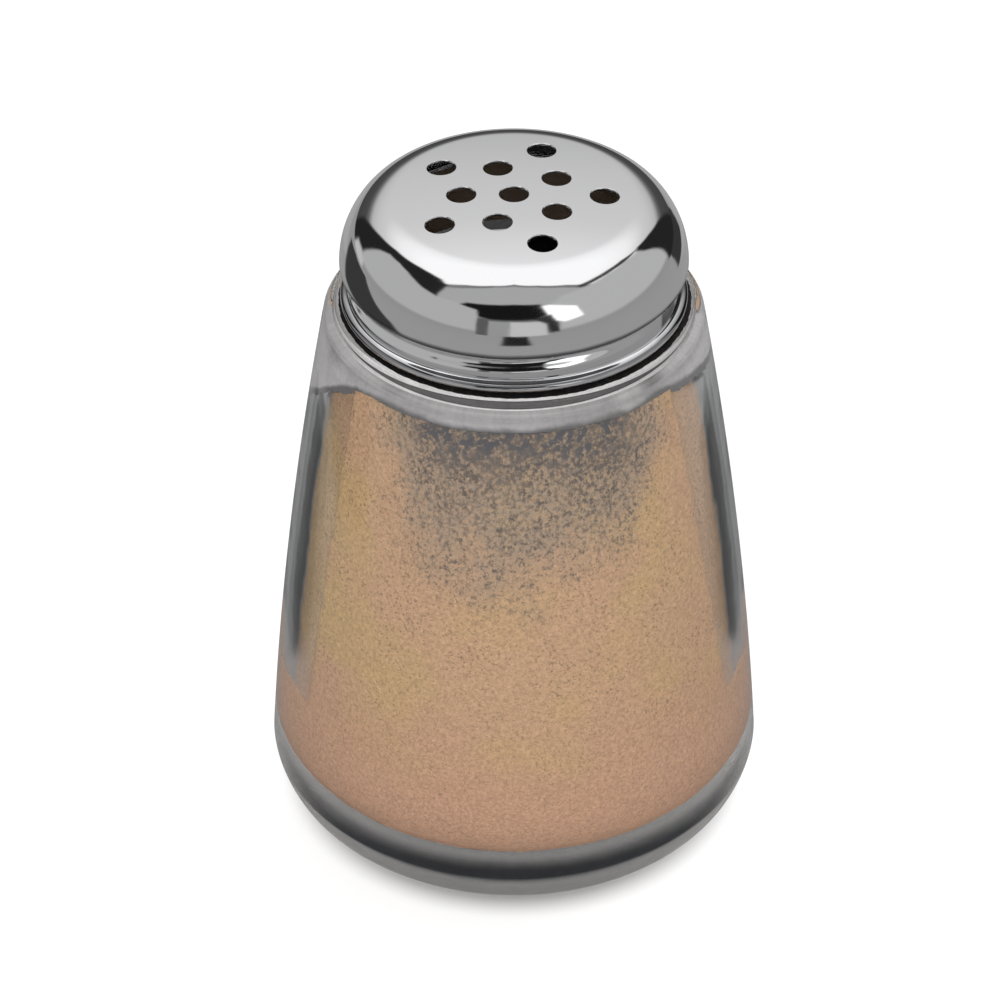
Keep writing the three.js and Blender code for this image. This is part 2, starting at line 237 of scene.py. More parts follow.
class Finishes(bpy.types.PropertyGroup):
    """Colours and polish."""

    glass: colour("Glass", 0.93, 0.945, 0.95, "Tint of the glass")
    chrome: colour("Chrome", 0.79, 0.79, 0.8, "Reflecting colour of the chrome")
    seal: colour("Sealing ring", 0.04, 0.04, 0.042, "Colour of the soft ring")
    spice: colour("Spice", 0.43, 0.266, 0.16, "Main colour of the ground spice")
    spice_yellow: colour("Yellow spice", 0.432, 0.283, 0.143, "Yellower patches of the spice")
    spice_pink: colour("Pink spice", 0.42, 0.245, 0.158, "Pinker patches of the spice")
    speck: colour("Specks", 0.2, 0.125, 0.08, "Dark flakes in the spice")
    # Coarse grains, husks and darkest grains: grain colours that also paint the lid's shade on the
    # spice's upper part
    coarse: colour("Coarse grains", 0.3, 0.222, 0.16, "Coarse grains near the top")
    husk_and_lid_shade: colour("Husks", 0.095, 0.077, 0.066, "Dark husks among the coarse grains")
    lid_shade_grains: colour("Dark grains", 0.075, 0.074, 0.08, "Darkest coarse grains, under the neck")
    # Painted shade: the dark of the spice's top under the lid, also mixed into the painted shadow
    # under the lid's edge
    painted_shade: colour("Shaded top", 0.05, 0.045, 0.042, "Husks that lie on top of the spice")
    # Dust and painted glare: a pale film on the glass whose paleness also stands for glare on the
    # shoulder
    dust: colour("Dust", 0.4, 0.38, 0.38, "Pale dust that clings to the glass")
    # Painted shadow: the near black colour of the ring under the lid's edge
    crevice_shadow: colour("Grime", 0.012, 0.011, 0.011, "Old dark powder in the crevice under the lid")
    # Painted shade: the brown of the neck film's face towards the air, seen through the holes
    film: colour("Neck film", 0.2, 0.145, 0.105, "Fine powder on the inside of the neck")
    # Chrome darkened in the lid's two creases
    crease_darkening: colour("Tarnish", 0.17, 0.17, 0.18, "Chrome in the lid's two creases")
    # Painted light and painted shade on the spice's underside, seen through the base
    underside_painted_light: colour("Pale underside", 0.9, 0.86, 0.84, "Loose spice on the jar's floor")
    underside_painted_shade: colour("Dark underside", 0.065, 0.067, 0.076, "Spice pressed on that floor")


class StageSettings(bpy.types.PropertyGroup):
    """Camera, light and floor."""

    distance: length("Camera distance", 0.6, "From the object's middle to the camera")
    aim: length("Aim height", AIM_HEIGHT, "Height of the point that the camera looks at")
    elevation: bpy.props.FloatProperty(
        name="Elevation",
        description="How far the camera looks down",
        default=math.radians(36.81),
        subtype="ANGLE",
    )
    lens: amount("Lens", 131.5, "Focal length in millimetres")
    shift_x: amount("Shift across", -0.014, "Sideways shift of the picture")
    shift_y: amount("Shift up", -0.0183, "Upward shift of the picture")
    sky: amount("Sky light", 0.7, "Strength of the even light all round")
    key: amount("Key lamp", 5.0, "Power of the large lamp overhead")
    fill: amount("Fill lamp", 6.0, "Power of the lamp beside the camera")


class Graph:
    """Adds nodes to a tree from left to right and links them."""

    step = 180

    def __init__(self, tree):
        self.tree = tree
        self.made = 0

    def feed(self, socket, value):
        """Links an output to a socket, or sets the socket's own value."""
        if isinstance(value, bpy.types.NodeSocket):
            self.tree.links.new(value, socket)
        else:
            socket.default_value = value

    def add(self, kind, inputs=None, **settings):
        """Makes a node with these settings and inputs."""
        node = self.tree.nodes.new(kind)
        node.location = (self.made * self.step, 0)
        self.made += 1
        for name, value in settings.items():
            setattr(node, name, value)
        for name, value in (inputs or {}).items():
            self.feed(node.inputs[name], value)
        return node

    def math(self, operation, first, second=0.0):
        """The output of one sum."""
        return self.add("ShaderNodeMath", {0: first, 1: second}, operation=operation).outputs[0]

    def product(self, *values):
        """Two or more values multiplied."""
        result = values[0]
        for value in values[1:]:
            result = self.math("MULTIPLY", result, value)
        return result

    def split(self, vector):
        """The three parts of a vector, by name."""
        return self.add("ShaderNodeSeparateXYZ", {0: vector}).outputs

    def noise(self, place, scale, detail=2.0, roughness=0.5):
        """A noise between nought and one."""
        wanted = {"Vector": place, "Scale": scale, "Detail": detail, "Roughness": roughness}
        return self.add("ShaderNodeTexNoise", wanted).outputs[0]

    def ramp(self, value, low, high, to_low=0.0, to_high=1.0, kind="SMOOTHSTEP"):
        """The value moved from one range to another and held inside it."""
        wanted = {"Value": value, "From Min": low, "From Max": high}
        wanted.update({"To Min": to_low, "To Max": to_high})
        return self.add("ShaderNodeMapRange", wanted, interpolation_type=kind).outputs["Result"]


def geometry_tree(name, floats, whole=()):
    """A geometry tree with a material and these numbers as inputs: its graph and its inputs."""
    tree = bpy.data.node_groups.new(name, "GeometryNodeTree")
    tree.interface.new_socket("Geometry", in_out="OUTPUT", socket_type="NodeSocketGeometry")
    sockets = {"Geometry": "Geometry", "Material": "Material"}
    sockets.update({**dict.fromkeys(whole, "Int"), **dict.fromkeys(floats, "Float")})
    for label, kind in sockets.items():
        tree.interface.new_socket(label, in_out="INPUT", socket_type=f"NodeSocket{kind}")
    graph = Graph(tree)
    return graph, graph.add("NodeGroupInput").outputs


def finish_tree(graph, given, made):
    """Ends a geometry tree: smooth but for sharp creases, real, and with its material."""
    geometry = made.outputs[0]
    smooth = graph.add("GeometryNodeSetShadeSmooth", {"Geometry": geometry, "Shade Smooth": True})
    turn = graph.add("GeometryNodeInputMeshEdgeAngle").outputs["Unsigned Angle"]
    crease = given["Crease angle"]
    sharp = graph.add("FunctionNodeCompare", {"A": turn, "B": crease}, data_type="FLOAT")
    edges = graph.add(
        "GeometryNodeSetShadeSmooth",
        {"Geometry": smooth.outputs[0], "Selection": sharp.outputs[0], "Shade Smooth": False},
        domain="EDGE",
    )
    real = graph.add("GeometryNodeRealizeInstances", {"Geometry": edges.outputs[0]}).outputs[0]
    painted = {"Geometry": real, "Material": given["Material"]}
    painted = graph.add("GeometryNodeSetMaterial", painted)
    graph.add("NodeGroupOutput", {"Geometry": painted.outputs[0]})
    return graph.tree


def thread_offset(graph, given, turn, height, wall):
    """How far the thread moves a point of the wall in or out."""
    early = graph.math("SUBTRACT", turn, given["Thread start turn"])
    rise = graph.math("SUBTRACT", height, given["Thread start"])
    climb = graph.math("SUBTRACT", graph.math("DIVIDE", rise, given["Thread pitch"]), early)
    whole = graph.math("ROUND", climb)
    climbed = graph.math("ADD", early, whole)
    astray = graph.product(graph.math("SUBTRACT", climb, whole), given["Thread pitch"])
    crest = graph.math("DIVIDE", given["Thread crest"], 2.0)
    above = graph.ramp(astray, crest, given["Thread above"], 1.0, 0.0)
    below = graph.ramp(graph.product(astray, -1.0), crest, given["Thread below"], 1.0, 0.0)
    ridge = graph.math("MINIMUM", above, below)
    left = graph.math("SUBTRACT", given["Thread turns"], climbed)
    near_end = graph.math("MINIMUM", climbed, left)
    fade = graph.ramp(near_end, 0.0, given["Thread fade"])
    return graph.product(ridge, fade, given["Thread height"], wall)


def turned_form_tree():
    """Turns a profile round the upright axis and raises a screw thread on its marked rows."""
    graph, given = geometry_tree(
        "turned_form",
        (
            "Crease angle", "Thread pitch", "Thread height", "Thread above", "Thread below",
            "Thread crest", "Thread start", "Thread start turn", "Thread turns", "Thread fade",
        ),
        whole=("Segments",),
    )
    profile = given["Geometry"]
    rows = graph.add("GeometryNodeAttributeDomainSize", {"Geometry": profile}).outputs[0]
    columns = graph.math("ADD", given["Segments"], 1.0)
    grid = graph.add("GeometryNodeMeshGrid", {"Vertices X": columns, "Vertices Y": rows})
    index = graph.add("GeometryNodeInputIndex").outputs[0]
    column = graph.math("FLOOR", graph.math("DIVIDE", index, rows))
    row = graph.math("SUBTRACT", index, graph.product(column, rows))
    place = graph.add("GeometryNodeInputPosition").outputs[0]
    corner = graph.add(
        "GeometryNodeSampleIndex",
        {"Geometry": profile, "Value": place, "Index": row},
        data_type="FLOAT_VECTOR",
    )
    parts = graph.split(corner.outputs[0])
    marked = graph.add("GeometryNodeInputNamedAttribute", {"Name": THREAD_WALL})
    wall = graph.add(
        "GeometryNodeSampleIndex",
        {"Geometry": profile, "Value": marked.outputs[0], "Index": row},
        data_type="FLOAT",
    ).outputs[0]
    turn = graph.math("DIVIDE", column, given["Segments"])
    moved = thread_offset(graph, given, turn, parts["Z"], wall)
    radius = graph.math("ADD", parts["X"], moved)
    angle = graph.product(turn, FULL_TURN)
    across = graph.product(radius, graph.math("COSINE", angle))
    along = graph.product(radius, graph.math("SINE", angle))
    spot = graph.add("ShaderNodeCombineXYZ", {"X": across, "Y": along, "Z": parts["Z"]})
    turned = graph.add(
        "GeometryNodeSetPosition", {"Geometry": grid.outputs[0], "Position": spot.outputs[0]}
    )
    joined = graph.add(
        "GeometryNodeMergeByDistance", {"Geometry": turned.outputs[0], "Distance": MERGE}
    )
    return finish_tree(graph, given, joined)


def shaking_holes_tree():
    """Cuts a middle hole and two rings of holes, with rounded rims, through the crown."""
    graph, given = geometry_tree(
        "shaking_holes",
        (
            "Hole radius", "Inner ring", "Outer ring", "Rim rounding", "Crown top",
            "Crown radius", "Crown rise", "Sheet", "Crease angle",
        ),
        whole=("Holes per ring", "Hole segments"),
    )
    # One cutter, with the sheet's outer face at nought and its inner face below it
    overrun = graph.product(given["Rim rounding"], 0.6)
    depth = graph.math("ADD", given["Sheet"], graph.product(overrun, 2.0))
    drill = graph.add(
        "GeometryNodeMeshCylinder",
        {
            "Vertices": given["Hole segments"],
            "Side Segments": DRILL_ROWS,
            "Radius": given["Hole radius"],
            "Depth": depth,
        },
    )
    at = graph.split(graph.add("GeometryNodeInputPosition").outputs[0])
    middle = graph.math("DIVIDE", given["Sheet"], 2.0)
    into = graph.math("SUBTRACT", middle, graph.math("ABSOLUTE", at["Z"]))
    near = graph.math("SUBTRACT", 1.0, graph.math("DIVIDE", into, given["Rim rounding"]))
    flare = graph.math("POWER", graph.math("MAXIMUM", near, 0.0), 2.0)
    wider = graph.product(flare, given["Rim rounding"], 0.9)
    swell = graph.math("ADD", graph.math("DIVIDE", wider, given["Hole radius"]), 1.0)
    flared = graph.add(
        "ShaderNodeCombineXYZ",
        {
            "X": graph.product(at["X"], swell),
            "Y": graph.product(at["Y"], swell),
            "Z": graph.math("SUBTRACT", at["Z"], middle),
        },
    )
    cutter = graph.add(
        "GeometryNodeSetPosition", {"Geometry": drill.outputs[0], "Position": flared.outputs[0]}
    )
    # The places of the holes on the crown
    inner, outer = (
        graph.add(
            "GeometryNodeMeshCircle",
            {"Vertices": given["Holes per ring"], "Radius": given[f"{ring} ring"]},
        )
        for ring in ("Inner", "Outer")
    )
    turned = graph.add(
        "GeometryNodeTransform", {"Geometry": inner.outputs[0], "Rotation": (0.0, 0.0, math.pi)}
    )
    single = graph.add("GeometryNodeMeshLine", {"Count": 1})
    places = graph.add("GeometryNodeJoinGeometry")
    for ring in (turned, outer, single):
        graph.tree.links.new(ring.outputs[0], places.inputs[0])
    spot = graph.split(graph.add("GeometryNodeInputPosition").outputs[0])
    x, y = spot["X"], spot["Y"]
    square = graph.math("ADD", graph.product(x, x), graph.product(y, y))
    crown_square = graph.product(given["Crown radius"], given["Crown radius"])
    bend = graph.math("DIVIDE", given["Crown rise"], crown_square)
    height = graph.math("SUBTRACT", given["Crown top"], graph.product(square, bend))
    level = graph.add("ShaderNodeCombineXYZ", {"X": x, "Y": y, "Z": height})
    on_crown = graph.add(
        "GeometryNodeSetPosition", {"Geometry": places.outputs[0], "Position": level.outputs[0]}
    )
    twice = graph.product(bend, 2.0)
    upright = graph.add(
        "ShaderNodeCombineXYZ",
        {"X": graph.product(x, twice), "Y": graph.product(y, twice), "Z": 1.0},
    )
    tilt = graph.add("FunctionNodeAlignRotationToVector", {"Vector": upright.outputs[0]}, axis="Z")
    drills = graph.add(
        "GeometryNodeInstanceOnPoints",
        {
            "Points": on_crown.outputs[0],
            "Instance": cutter.outputs[0],
            "Rotation": tilt.outputs[0],
        },
    )
    solid = graph.add("GeometryNodeRealizeInstances", {"Geometry": drills.outputs[0]})
    pierced = graph.add(
        "GeometryNodeMeshBoolean",
        {"Mesh 1": given["Geometry"], "Mesh 2": solid.outputs[0]},
        operation="DIFFERENCE",
        solver="MANIFOLD",
    )
    return finish_tree(graph, given, pierced)


def loose_powder_tree():
    """Sinks small lumps and grains into the skin of the spice, never outwards."""
    graph, given = geometry_tree(
        "loose_powder", ("Lump size", "Lump depth", "Grain size", "Grain depth", "Crease angle")
    )
    place = graph.add("GeometryNodeInputPosition").outputs[0]
    sunk = None
    for kind in ("Lump", "Grain"):
        scale = graph.math("DIVIDE", 1.0, given[f"{kind} size"])
        level = graph.ramp(graph.noise(place, scale), 0.3, 0.7)
        depth = graph.product(level, given[f"{kind} depth"])
        sunk = depth if sunk is None else graph.math("ADD", sunk, depth)
    normal = graph.add("GeometryNodeInputNormal").outputs[0]
    inward = graph.add(
        "ShaderNodeVectorMath",
        {0: normal, "Scale": graph.product(sunk, -1.0)},
        operation="SCALE",
    )
    rough = graph.add(
        "GeometryNodeSetPosition", {"Geometry": given["Geometry"], "Offset": inward.outputs[0]}
    )
    return finish_tree(graph, given, rough)


def apply_tree(piece, tree, **values):
    """Runs a geometry tree on a piece and keeps the result as its plain mesh."""
    modifier = piece.modifiers.new(tree.name, "NODES")
    modifier.node_group = tree
    for item in tree.interface.items_tree:
        key = item.name.lower().replace(" ", "_")
        if item.in_out == "INPUT" and key in values:
            modifier[item.identifier] = values[key]
    graph = bpy.context.evaluated_depsgraph_get()
    made = bpy.data.meshes.new_from_object(piece.evaluated_get(graph), depsgraph=graph)
    old = piece.data
    piece.modifiers.remove(modifier)
    piece.data = made
    bpy.data.meshes.remove(old)
    made.name = piece.name
    if not made.polygons:
        raise RuntimeError(f"{tree.name} made no faces for {piece.name}")


def link_mesh(name, vertices, edges=(), faces=()):
    """A new object with this mesh in the scene."""
    mesh = bpy.data.meshes.new(name)
    mesh.from_pydata(vertices, edges, faces)
    piece = bpy.data.objects.new(name, mesh)
    bpy.context.scene.collection.objects.link(piece)
    return piece


def mark_points(piece, name, values):
    """Gives a mesh a named value at each point."""
    piece.data.attributes.new(name, "FLOAT", "POINT").data.foreach_set("value", values)


def profile_piece(name, rows):
    """A piece that is only its profile so far: radius, height and thread mark of each row."""
    chain = [(i, i + 1) for i in range(len(rows) - 1)]
    piece = link_mesh(name, [(radius, 0.0, height) for radius, height, _ in rows], chain)
    mark_points(piece, THREAD_WALL, [mark for _, _, mark in rows])
    return piece


def oval(centre, height, reach, rise, start, end, steps):
    """Rows on part of an oval, as radius and height."""
    angles = np.radians(np.linspace(start, end, steps + 1))
    return [(centre + reach * math.cos(a), height + rise * math.sin(a)) for a in angles]


def arc(centre, height, radius, start, end, steps):
    """Rows on part of a circle."""
    return oval(centre, height, radius, radius, start, end, steps)


def bezier(start, start_handle, end_handle, end, steps):
    """Rows on a cubic curve."""
    points = np.array([start, start_handle, end_handle, end])
    rows = []
    for t in np.linspace(0.0, 1.0, steps + 1):
        weights = np.array([(1 - t) ** 3, 3 * t * (1 - t) ** 2, 3 * t**2 * (1 - t), t**3])
        rows.append(tuple(weights @ points))
    return rows


def straight(start, end, row):
    """Rows no further apart than row on a straight line."""
    gap = math.hypot(end[0] - start[0], end[1] - start[1])
    steps = max(1, math.ceil(gap / row))
    return [
        (start[0] + (end[0] - start[0]) * i / steps, start[1] + (end[1] - start[1]) * i / steps)
        for i in range(steps + 1)
    ]


def offset(rows, distance):
    """Rows moved to the left of the way that they run."""
    line = np.array(rows)
    along = np.gradient(line, axis=0)
    along /= np.linalg.norm(along, axis=1)[:, None]
    moved = line + distance * np.stack([-along[:, 1], along[:, 0]], axis=1)
    return [(max(radius, 0.0), height) for radius, height in moved]


def profile(*stretches):
    """One list of rows from stretches of (rows, thread mark), without repeated rows."""
    least = 0.004 * MM
    rows = []
    for points, mark in stretches:
        for radius, height in points:
            if rows and math.hypot(radius - rows[-1][0], height - rows[-1][1]) < least:
                rows[-1] = (radius, height, max(rows[-1][2], mark, key=abs))
                continue
            rows.append((radius, height, mark))
    return rows


def side_radius(jar, height):
    """Outer radius of the jar's side at a height."""
    at = (height - jar.heel_height) / jar.side_height
    return jar.radius + (jar.shoulder_radius - jar.radius) * at + 4 * jar.side_bow * at * (1 - at)


def side_rows(jar, low, high, steps, inset=0.0):
    """Rows up the jar's side."""
    return [(side_radius(jar, z) - inset, z) for z in np.linspace(low, high, steps + 1)]


def corner_end(jar):
    """Where the inside corner meets the wall: angle past upright, height and centre."""
    middle = jar.floor + jar.corner
    taper = (side_radius(jar, middle) - side_radius(jar, middle + jar.wall)) / jar.wall
    past = math.atan(taper)
    height = middle + jar.corner * math.sin(past)
    return past, height, side_radius(jar, height) - jar.wall - jar.corner * math.cos(past)


def jar_inside(jar):
    """Rows of the jar's inside, from the middle of the floor up to the mouth."""
    past, corner_top, corner_middle = corner_end(jar)
    shoulder_top = jar.heel_height + jar.side_height + 2 * jar.shoulder_rise
    wall_top = shoulder_top - jar.inner_shoulder
    wall_radius = side_radius(jar, wall_top) - jar.wall
    mouth = jar.neck_radius - jar.neck_wall
    handle = jar.inner_shoulder / 2
    rows = straight((0.0, jar.floor), (corner_middle, jar.floor), 2.5 * MM)
    middle = jar.floor + jar.corner
    rows += arc(corner_middle, middle, jar.corner, -90, math.degrees(past), 22)[1:]
    rows += side_rows(jar, corner_top, wall_top, 24, jar.wall)[1:]
    rows += bezier(
        (wall_radius, wall_top),
        (wall_radius, wall_top + handle),
        (mouth, wall_top + jar.inner_shoulder - handle),
        (mouth, wall_top + jar.inner_shoulder),
        20,
    )[1:]
    return rows


def step_height(jar):
    """Height of the top of the step under the lid."""
    return jar.heel_height + jar.side_height + jar.shoulder_rise + jar.step_height


def jar_rows(jar, thread):
    """The jar's whole profile, from under the middle of its base to the middle of its floor."""
    outside = [(jar.ring_radius * t, jar.push_up * (1 - t * t)) for t in np.linspace(0, 1, 13)]
    heel_reach = jar.radius - jar.foot_radius
    for angle in np.linspace(0.0, QUARTER, 29):
        out = math.sin(angle) ** (2 / jar.heel_power)
        down = max(math.cos(angle), 0.0) ** (2 / jar.heel_power)
        outside.append((jar.foot_radius + heel_reach * out, jar.heel_height * (1 - down)))
    shoulder = jar.heel_height + jar.side_height
    step_top = step_height(jar)
    neck_low = (jar.neck_radius, step_top + jar.neck_fillet)
    neck_high = (jar.neck_radius, jar.rim_height - jar.lip_round)
    crown = jar.shoulder_radius - jar.step_radius
    outside += side_rows(jar, jar.heel_height, shoulder, 28)
    outside += oval(jar.step_radius, shoulder, crown, jar.shoulder_rise, 0, 82, 9)
    step_middle = jar.step_radius - jar.step_round
    outside += arc(step_middle, step_top - jar.step_round, jar.step_round, 0, 90, 9)
    outside += arc(jar.neck_radius + jar.neck_fillet, neck_low[1], -jar.neck_fillet, 90, 0, 6)
    lip = arc(jar.neck_radius - jar.lip_round, neck_high[1], jar.lip_round, 0, 90, 8)
    mouth, inner_lip = jar.neck_radius - jar.neck_wall, jar.lip_round / 2
    lip += oval(mouth + inner_lip, jar.rim_height - inner_lip, -inner_lip, inner_lip, 90, 0, 6)
    return profile(
        (outside, 0.0),
        (straight(neck_low, neck_high, thread.row), 1.0),
        (lip + jar_inside(jar)[::-1], 0.0),
    )


def lid_outside(lid):
    """Rows of the sheet's outside, from the middle of the crown down to the tuck."""
    rows = [
        (lid.crown_radius * t, lid.top - lid.crown_rise * t * t) for t in np.linspace(0, 1, 37)
    ]
    dome_top = lid.top - lid.crown_rise
    slope = 2 * lid.crown_rise / lid.crown_radius
    rows += bezier(
        (lid.crown_radius, dome_top),
        (lid.crown_radius + lid.start_handle, dome_top - lid.start_handle * slope),
        (lid.equator_radius, lid.equator + lid.end_handle),
        (lid.equator_radius, lid.equator),
        48,
    )[1:]
    tuck = lid.equator_radius - lid.skirt_radius
    rows += oval(lid.skirt_radius, lid.equator, tuck, lid.tuck_rise, 0, -73, 12)[1:]
    return rows


def lid_rows(lid, thread):
    """The lid's whole profile, outside first, then back up its inside."""
    outside = lid_outside(lid)
    root_radius, root = outside[-1]
    root_reach = root_radius - lid.skirt_radius
    skirt_top = root - lid.tuck_fillet
    fillet = oval(root_radius, skirt_top, root_reach, lid.tuck_fillet, 90, 180, 6)
    inner_radius = lid.skirt_radius - lid.wall
    curl_height = lid.edge + lid.curl
    curl = arc(inner_radius + lid.curl, curl_height, lid.curl, 60, -180, 24)
    crease = curl[0][1] + lid.crease_height
    crease_radius = lid.skirt_radius - lid.crease_depth
    skirt = straight(
        (lid.skirt_radius, skirt_top), (lid.skirt_radius, crease + lid.crease_height), thread.row
    )
    bend = bezier(
        skirt[-1],
        (lid.skirt_radius, crease + lid.crease_height / 2),
        (crease_radius, crease + lid.crease_height / 4),
        (crease_radius, crease),
        6,
    )
    flare = bezier(
        bend[-1],
        (crease_radius, crease - lid.crease_height / 4),
        (curl[0][0] - lid.crease_height / 2, curl[0][1] + lid.crease_height / 4),
        curl[0],
        6,
    )
    inside = offset(outside, -lid.wall)
    inside = [row for row in inside if row[1] > lid.equator or row[0] > inner_radius + 0.2 * MM]
    inner_top = (inner_radius, root + lid.wall)
    bore = straight((inner_radius, curl_height), inner_top, thread.row)
    return profile(
        (outside + fillet, 0.0),
        (skirt + bend, -1.0),
        (flare + curl, 0.0),
        (bore, -1.0),
        (inside[::-1], 0.0),
    )


def seal_rows(fill):
    """The sealing ring's closed profile."""
    edge = fill.seal_round
    inner, outer = fill.seal_inner + edge, fill.seal_outer - edge
    low, high = SEAL_LOW.z + edge, SEAL_HIGH.z - edge
    rows = []
    corners = ((outer, low), (outer, high), (inner, high), (inner, low))
    for start, (centre, height) in zip(range(-90, 270, 90), corners):
        rows += arc(centre, height, edge, start, start + 90, 5)
    return profile((rows + rows[:1], 0.0))


def angles_round(number):
    """Even angles once round the axis."""
    return np.linspace(0.0, FULL_TURN, number, endpoint=False)


def spun(rows, angle):
    """Rows of radius and height, as points at an angle round the axis."""
    cosine, sine = math.cos(angle), math.sin(angle)
    return [(radius * cosine, radius * sine, height) for radius, height in rows]


def waves(angle, *speeds):
    """A ragged wave round the axis, with one ripple for each speed."""
    return sum(math.sin(speed * angle + shift) for shift, speed in enumerate(speeds))


def radius_at(rows, height):
    """Radius of rising rows at a height."""
    return float(np.interp(height, [z for _, z in rows], [r for r, _ in rows]))


def spice_grid(jar, fill):
    """Columns of points: out along the filling's floor, up its side, back in over its top."""
    loose, packed = (offset(jar_inside(jar), gap) for gap in (fill.gap, -fill.press))
    loose[0], packed[0] = (0.0, loose[0][1]), (0.0, packed[0][1])
    corner_top = corner_end(jar)[1]
    low = next(i for i, row in enumerate(loose) if row[1] >= corner_top)
    base = [row for row in packed[:low] if row[1] < corner_top - 0.2 * MM]
    width = radius_at(loose[low:], fill.top)
    side_drop = (fill.drop_right - fill.drop_left) / 2

    def surface(x, y):
        run = (y / width - fill.slope_start) / (fill.slope_end - fill.slope_start)
        run = min(1.0, max(0.0, run))
        drop = (fill.drop_left + fill.drop_right) / 2 + side_drop * x / width
        return fill.top - drop * run * run * (3 - 2 * run)

    def wall(height, angle):
        """Radius of the spice's side, pressed on the glass low down and free of it higher up."""
        wander = math.sin(3 * angle + 1.0) + 0.5 * math.sin(7 * angle)
        wander += 0.4 * math.sin(17 * angle)
        blur = 0.2
        facing = fill.packed_share - math.cos(2 * angle + 0.08 * wander)
        facing = min(1.0, max(0.0, (facing + blur) / (2 * blur)))
        facing *= facing * (3 - 2 * facing)
        edge = fill.packed + fill.packed_wave * wander / 2 + fill.packed_rise * facing
        free = min(1.0, max(0.0, (height - edge) / fill.packed_wave + 0.5))
        near, far = (radius_at(rows[low - CORNER_LAP :], height) for rows in (packed, loose))
        return near + (far - near) * free

    columns = []
    for angle in angles_round(fill.columns):
        cosine, sine = math.cos(angle), math.sin(angle)
        edge = fill.top
        for _ in range(EDGE_TRIES):
            rim = wall(edge, angle)
            edge = surface(rim * cosine, rim * sine)
        side = [(wall(z, angle), z) for z in np.linspace(corner_top, edge, SIDE_ROWS)]
        rim = side[-1][0]
        top = []
        for t in np.linspace(1.0, 0.0, TOP_STEPS)[1:]:
            reach = rim * t
            top.append((reach, surface(reach * cosine, reach * sine)))
        columns.append(spun(base + side + top, angle))
    return np.array(columns)


def dust_and_glare_grid(jar, fill, columns):
    """Closed columns of a thin skin on the glass, from the spice's edge up under the neck."""
    outer, inner = (offset(jar_inside(jar), gap) for gap in (-fill.dust_skin, fill.dust_skin))
    rims = columns[:, -TOP_STEPS]
    skin = []
    for x, y, edge in rims:
        angle = math.atan2(y, x)
        lower = edge - fill.dust_lap * (1 + waves(angle, 23, 57, 131) / 6)
        heights = np.linspace(lower, fill.dust_high, DUST_ROWS)
        up = [(radius_at(outer, z), z) for z in heights]
        down = [(radius_at(inner, z), z) for z in heights[::-1]]
        skin.append(spun(up + down + up[:1], angle))
    return np.array(skin)


def neck_shade_film_grid(jar, fill):
    """Closed columns of the thin film on the inside of the neck: powder, with painted shade on its
    inner face.
    """
    wall, skin = jar.neck_radius - jar.neck_wall, fill.dust_skin / 2
    low = step_height(jar) + jar.step_round
    high = jar.rim_height - jar.lip_round
    corners = ((wall + skin, low), (wall + skin, high), (wall - skin, high), (wall - skin, low))
    corners += corners[:1]
    return np.array([spun(corners, angle) for angle in angles_round(fill.columns)])


def crevice_shadow_grid(jar, fill):
    """Closed columns of the thin dark ring on the step under the lid's edge: a painted shadow of
    the gap there.
    """
    top = step_height(jar)
    low, high = top - fill.dust_skin / 2, top + fill.dust_skin / 2
    ring = []
    for angle in angles_round(fill.columns):
        ragged = waves(angle, 19, 47, 113)
        cosine = math.cos(angle)
        end = fill.crevice_shadow_high + fill.crevice_shadow_skew * cosine + fill.crevice_shadow_sides * cosine**12
        end = min(end, jar.step_radius - 0.3 * MM) + fill.dust_skin * ragged / 3
        bend = min(end - fill.dust_skin, jar.step_radius - jar.step_round)
        fall = max(0.0, end - bend - fill.dust_skin) ** 2 / (2 * jar.step_round)
        under = ((fill.grime_low, low), (bend, low), (end, low - fall))
        over = ((end - fill.dust_skin / 2, high - fall), (bend, high), (fill.grime_low, high))
        ring.append(spun(under + over + under[:1], angle))
    return np.array(ring)


def mark_dust(film, jar, columns):
    """Marks the dust's side that lies on the glass, and how far it is above the spice."""
    x, y, height = np.array([tuple(corner.co) for corner in film.data.vertices]).T
    rows = jar_inside(jar)
    glass = np.interp(height, [z for _, z in rows], [r for r, _ in rows])
    around = np.arctan2(y, x) % FULL_TURN
    rims = columns[:, -TOP_STEPS]
    bearings = np.arctan2(rims[:, 1], rims[:, 0]) % FULL_TURN
    edge = np.interp(around, bearings, rims[:, 2], period=FULL_TURN)
    mark_points(film, GLASS_SIDE, (np.hypot(x, y) > glass).astype(float))
    mark_points(film, ABOVE_SPICE, height - edge)


def grid_faces(columns, rows):
    """The faces of a grid whose last column joins its first."""
    faces = []
    for i in range(columns):
        this, following = i * rows, ((i + 1) % columns) * rows
        for j in range(rows - 1):
            faces.append((this + j, following + j, following + j + 1, this + j + 1))
    return faces


def closed_grid_piece(name, columns):
    """A closed piece from columns of points that start and end on the axis or at one place."""
    number, rows, _ = columns.shape
    vertices = columns.reshape(-1, 3)
    piece = link_mesh(name, vertices.tolist(), faces=grid_faces(number, rows))
    work = bmesh.new()
    work.from_mesh(piece.data)
    bmesh.ops.remove_doubles(work, verts=work.verts, dist=MERGE)
    bmesh.ops.dissolve_degenerate(work, edges=work.edges, dist=MERGE / 2)
    bmesh.ops.recalc_face_normals(work, faces=work.faces)
    work.to_mesh(piece.data)
    work.free()
    return piece


def shader_group(name, numbers, outputs):
    """A shader group with a vector and these numbers as inputs: its graph and its end nodes."""
    tree = bpy.data.node_groups.new(name, "ShaderNodeTree")
    tree.interface.new_socket("Vector", in_out="INPUT", socket_type="NodeSocketVector")
    for label, value in numbers.items():
        made = tree.interface.new_socket(label, in_out="INPUT", socket_type="NodeSocketFloat")
        made.default_value = value
    for label in outputs:
        tree.interface.new_socket(label, in_out="OUTPUT", socket_type="NodeSocketFloat")
    graph = Graph(tree)
    return graph, graph.add("NodeGroupInput").outputs, graph.add("NodeGroupOutput").inputs


